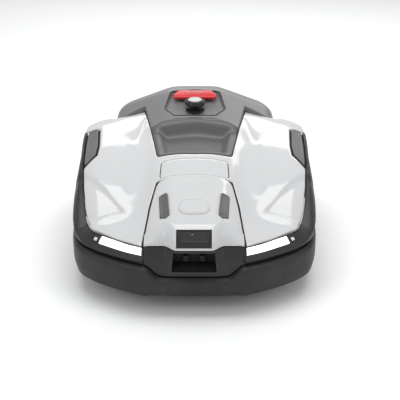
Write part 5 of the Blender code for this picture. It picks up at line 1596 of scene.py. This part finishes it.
def dressCadNodes():
    slotOf = {entry["node"]: entry["material_slot"] for entry in frame["record"]["subparts"]}
    for name, node in frame["nodes"].items():
        look = nodeLooks.get(name, slotLooks[slotOf[name]])
        for place in node.material_slots:
            place.link = "OBJECT"
            place.material = looks[look]


dressCadNodes()
print("CAD pieces finished")


# floor, light and camera
studio = dict(
    floor=(0.97, 0.97, 0.97), world=(0.98, 0.99, 1.0), worldStrength=0.62,
    lights=(  # name, place, size, watts, aim
        ("overhead", (0.0, 0.2, 2.3), (2.2, 1.4), 29, (0, 0, 0)),
        ("frontLeft", (-1.9, -1.7, 1.5), (1.2, 1.6), 7, (0, 0, 0.1)),
        ("frontRight", (1.9, -1.3, 1.2), (1.0, 1.4), 5, (0, 0, 0.1)),
        ("backRim", (0.3, 2.2, 1.4), (2.2, 0.8), 12, (0, 0, 0.2)),
    ),
    elevation=25.0, distance=2.4, target=(0.0, 0.0, 0.13), lens=89.28, offset=(0.0126, -0.0182),
)


def aim(thing, place, target):
    thing.location = place
    thing.rotation_euler = (Vector(target) - Vector(place)).to_track_quat("-Z", "Y").to_euler()


def buildStudio():
    mesh = bpy.data.meshes.new("studioFloor")
    reach, curve, rings = 12.0, 2.0, []
    rings += [[(x, y, 0.0) for x in (-reach, reach)] for y in (-reach, 2.6)]
    for k in range(1, 13):
        angle = math.pi / 2 * k / 12
        rings.append([(x, 2.6 + curve * math.sin(angle), curve * (1 - math.cos(angle)))
                      for x in (-reach, reach)])
    rings.append([(x, 2.6 + curve, 9.0) for x in (-reach, reach)])
    verts = [p for ring in rings for p in ring]
    faces = [(2 * i, 2 * i + 1, 2 * i + 3, 2 * i + 2) for i in range(len(rings) - 1)]
    mesh.from_pydata(verts, [], faces)
    mesh.shade_smooth()
    floorLook = bpy.data.materials.new("studioPaper")
    floorLook.use_nodes = True
    shader = floorLook.node_tree.nodes["Principled BSDF"]
    shader.inputs["Base Color"].default_value = (*studio["floor"], 1)
    shader.inputs["Roughness"].default_value = 0.75
    mesh.materials.append(floorLook)
    floor = bpy.data.objects.new("studioFloor", mesh)
    bpy.context.scene.collection.objects.link(floor)
    world = bpy.data.worlds.new("studioAir")
    world.use_nodes = True
    world.node_tree.nodes["Background"].inputs["Color"].default_value = (*studio["world"], 1)
    world.node_tree.nodes["Background"].inputs["Strength"].default_value = studio["worldStrength"]
    bpy.context.scene.world = world
    for name, place, size, watts, target in studio["lights"]:
        lamp = bpy.data.lights.new(name, "AREA")
        lamp.shape, lamp.size, lamp.size_y, lamp.energy = "RECTANGLE", *size, watts
        holder = bpy.data.objects.new(name, lamp)
        bpy.context.scene.collection.objects.link(holder)
        aim(holder, place, target)


def buildCamera():
    eye = bpy.data.cameras.new("studioCamera")
    eye.lens = studio["lens"]
    eye.clip_start, eye.clip_end = 0.05, 60
    holder = bpy.data.objects.new("studioCamera", eye)
    bpy.context.scene.collection.objects.link(holder)
    lean = math.radians(studio["elevation"])
    right, up = studio["offset"]
    target = Vector(studio["target"]) + Vector((right, 0, 0)) + Vector((0, math.sin(lean),
            math.cos(lean))) * up
    aim(holder, target + Vector((0, -math.cos(lean), math.sin(lean))) * studio["distance"], target)
    bpy.context.scene.camera = holder


buildStudio()
buildCamera()
bpy.context.scene.view_settings.view_transform = "Standard"
print("studio ready")
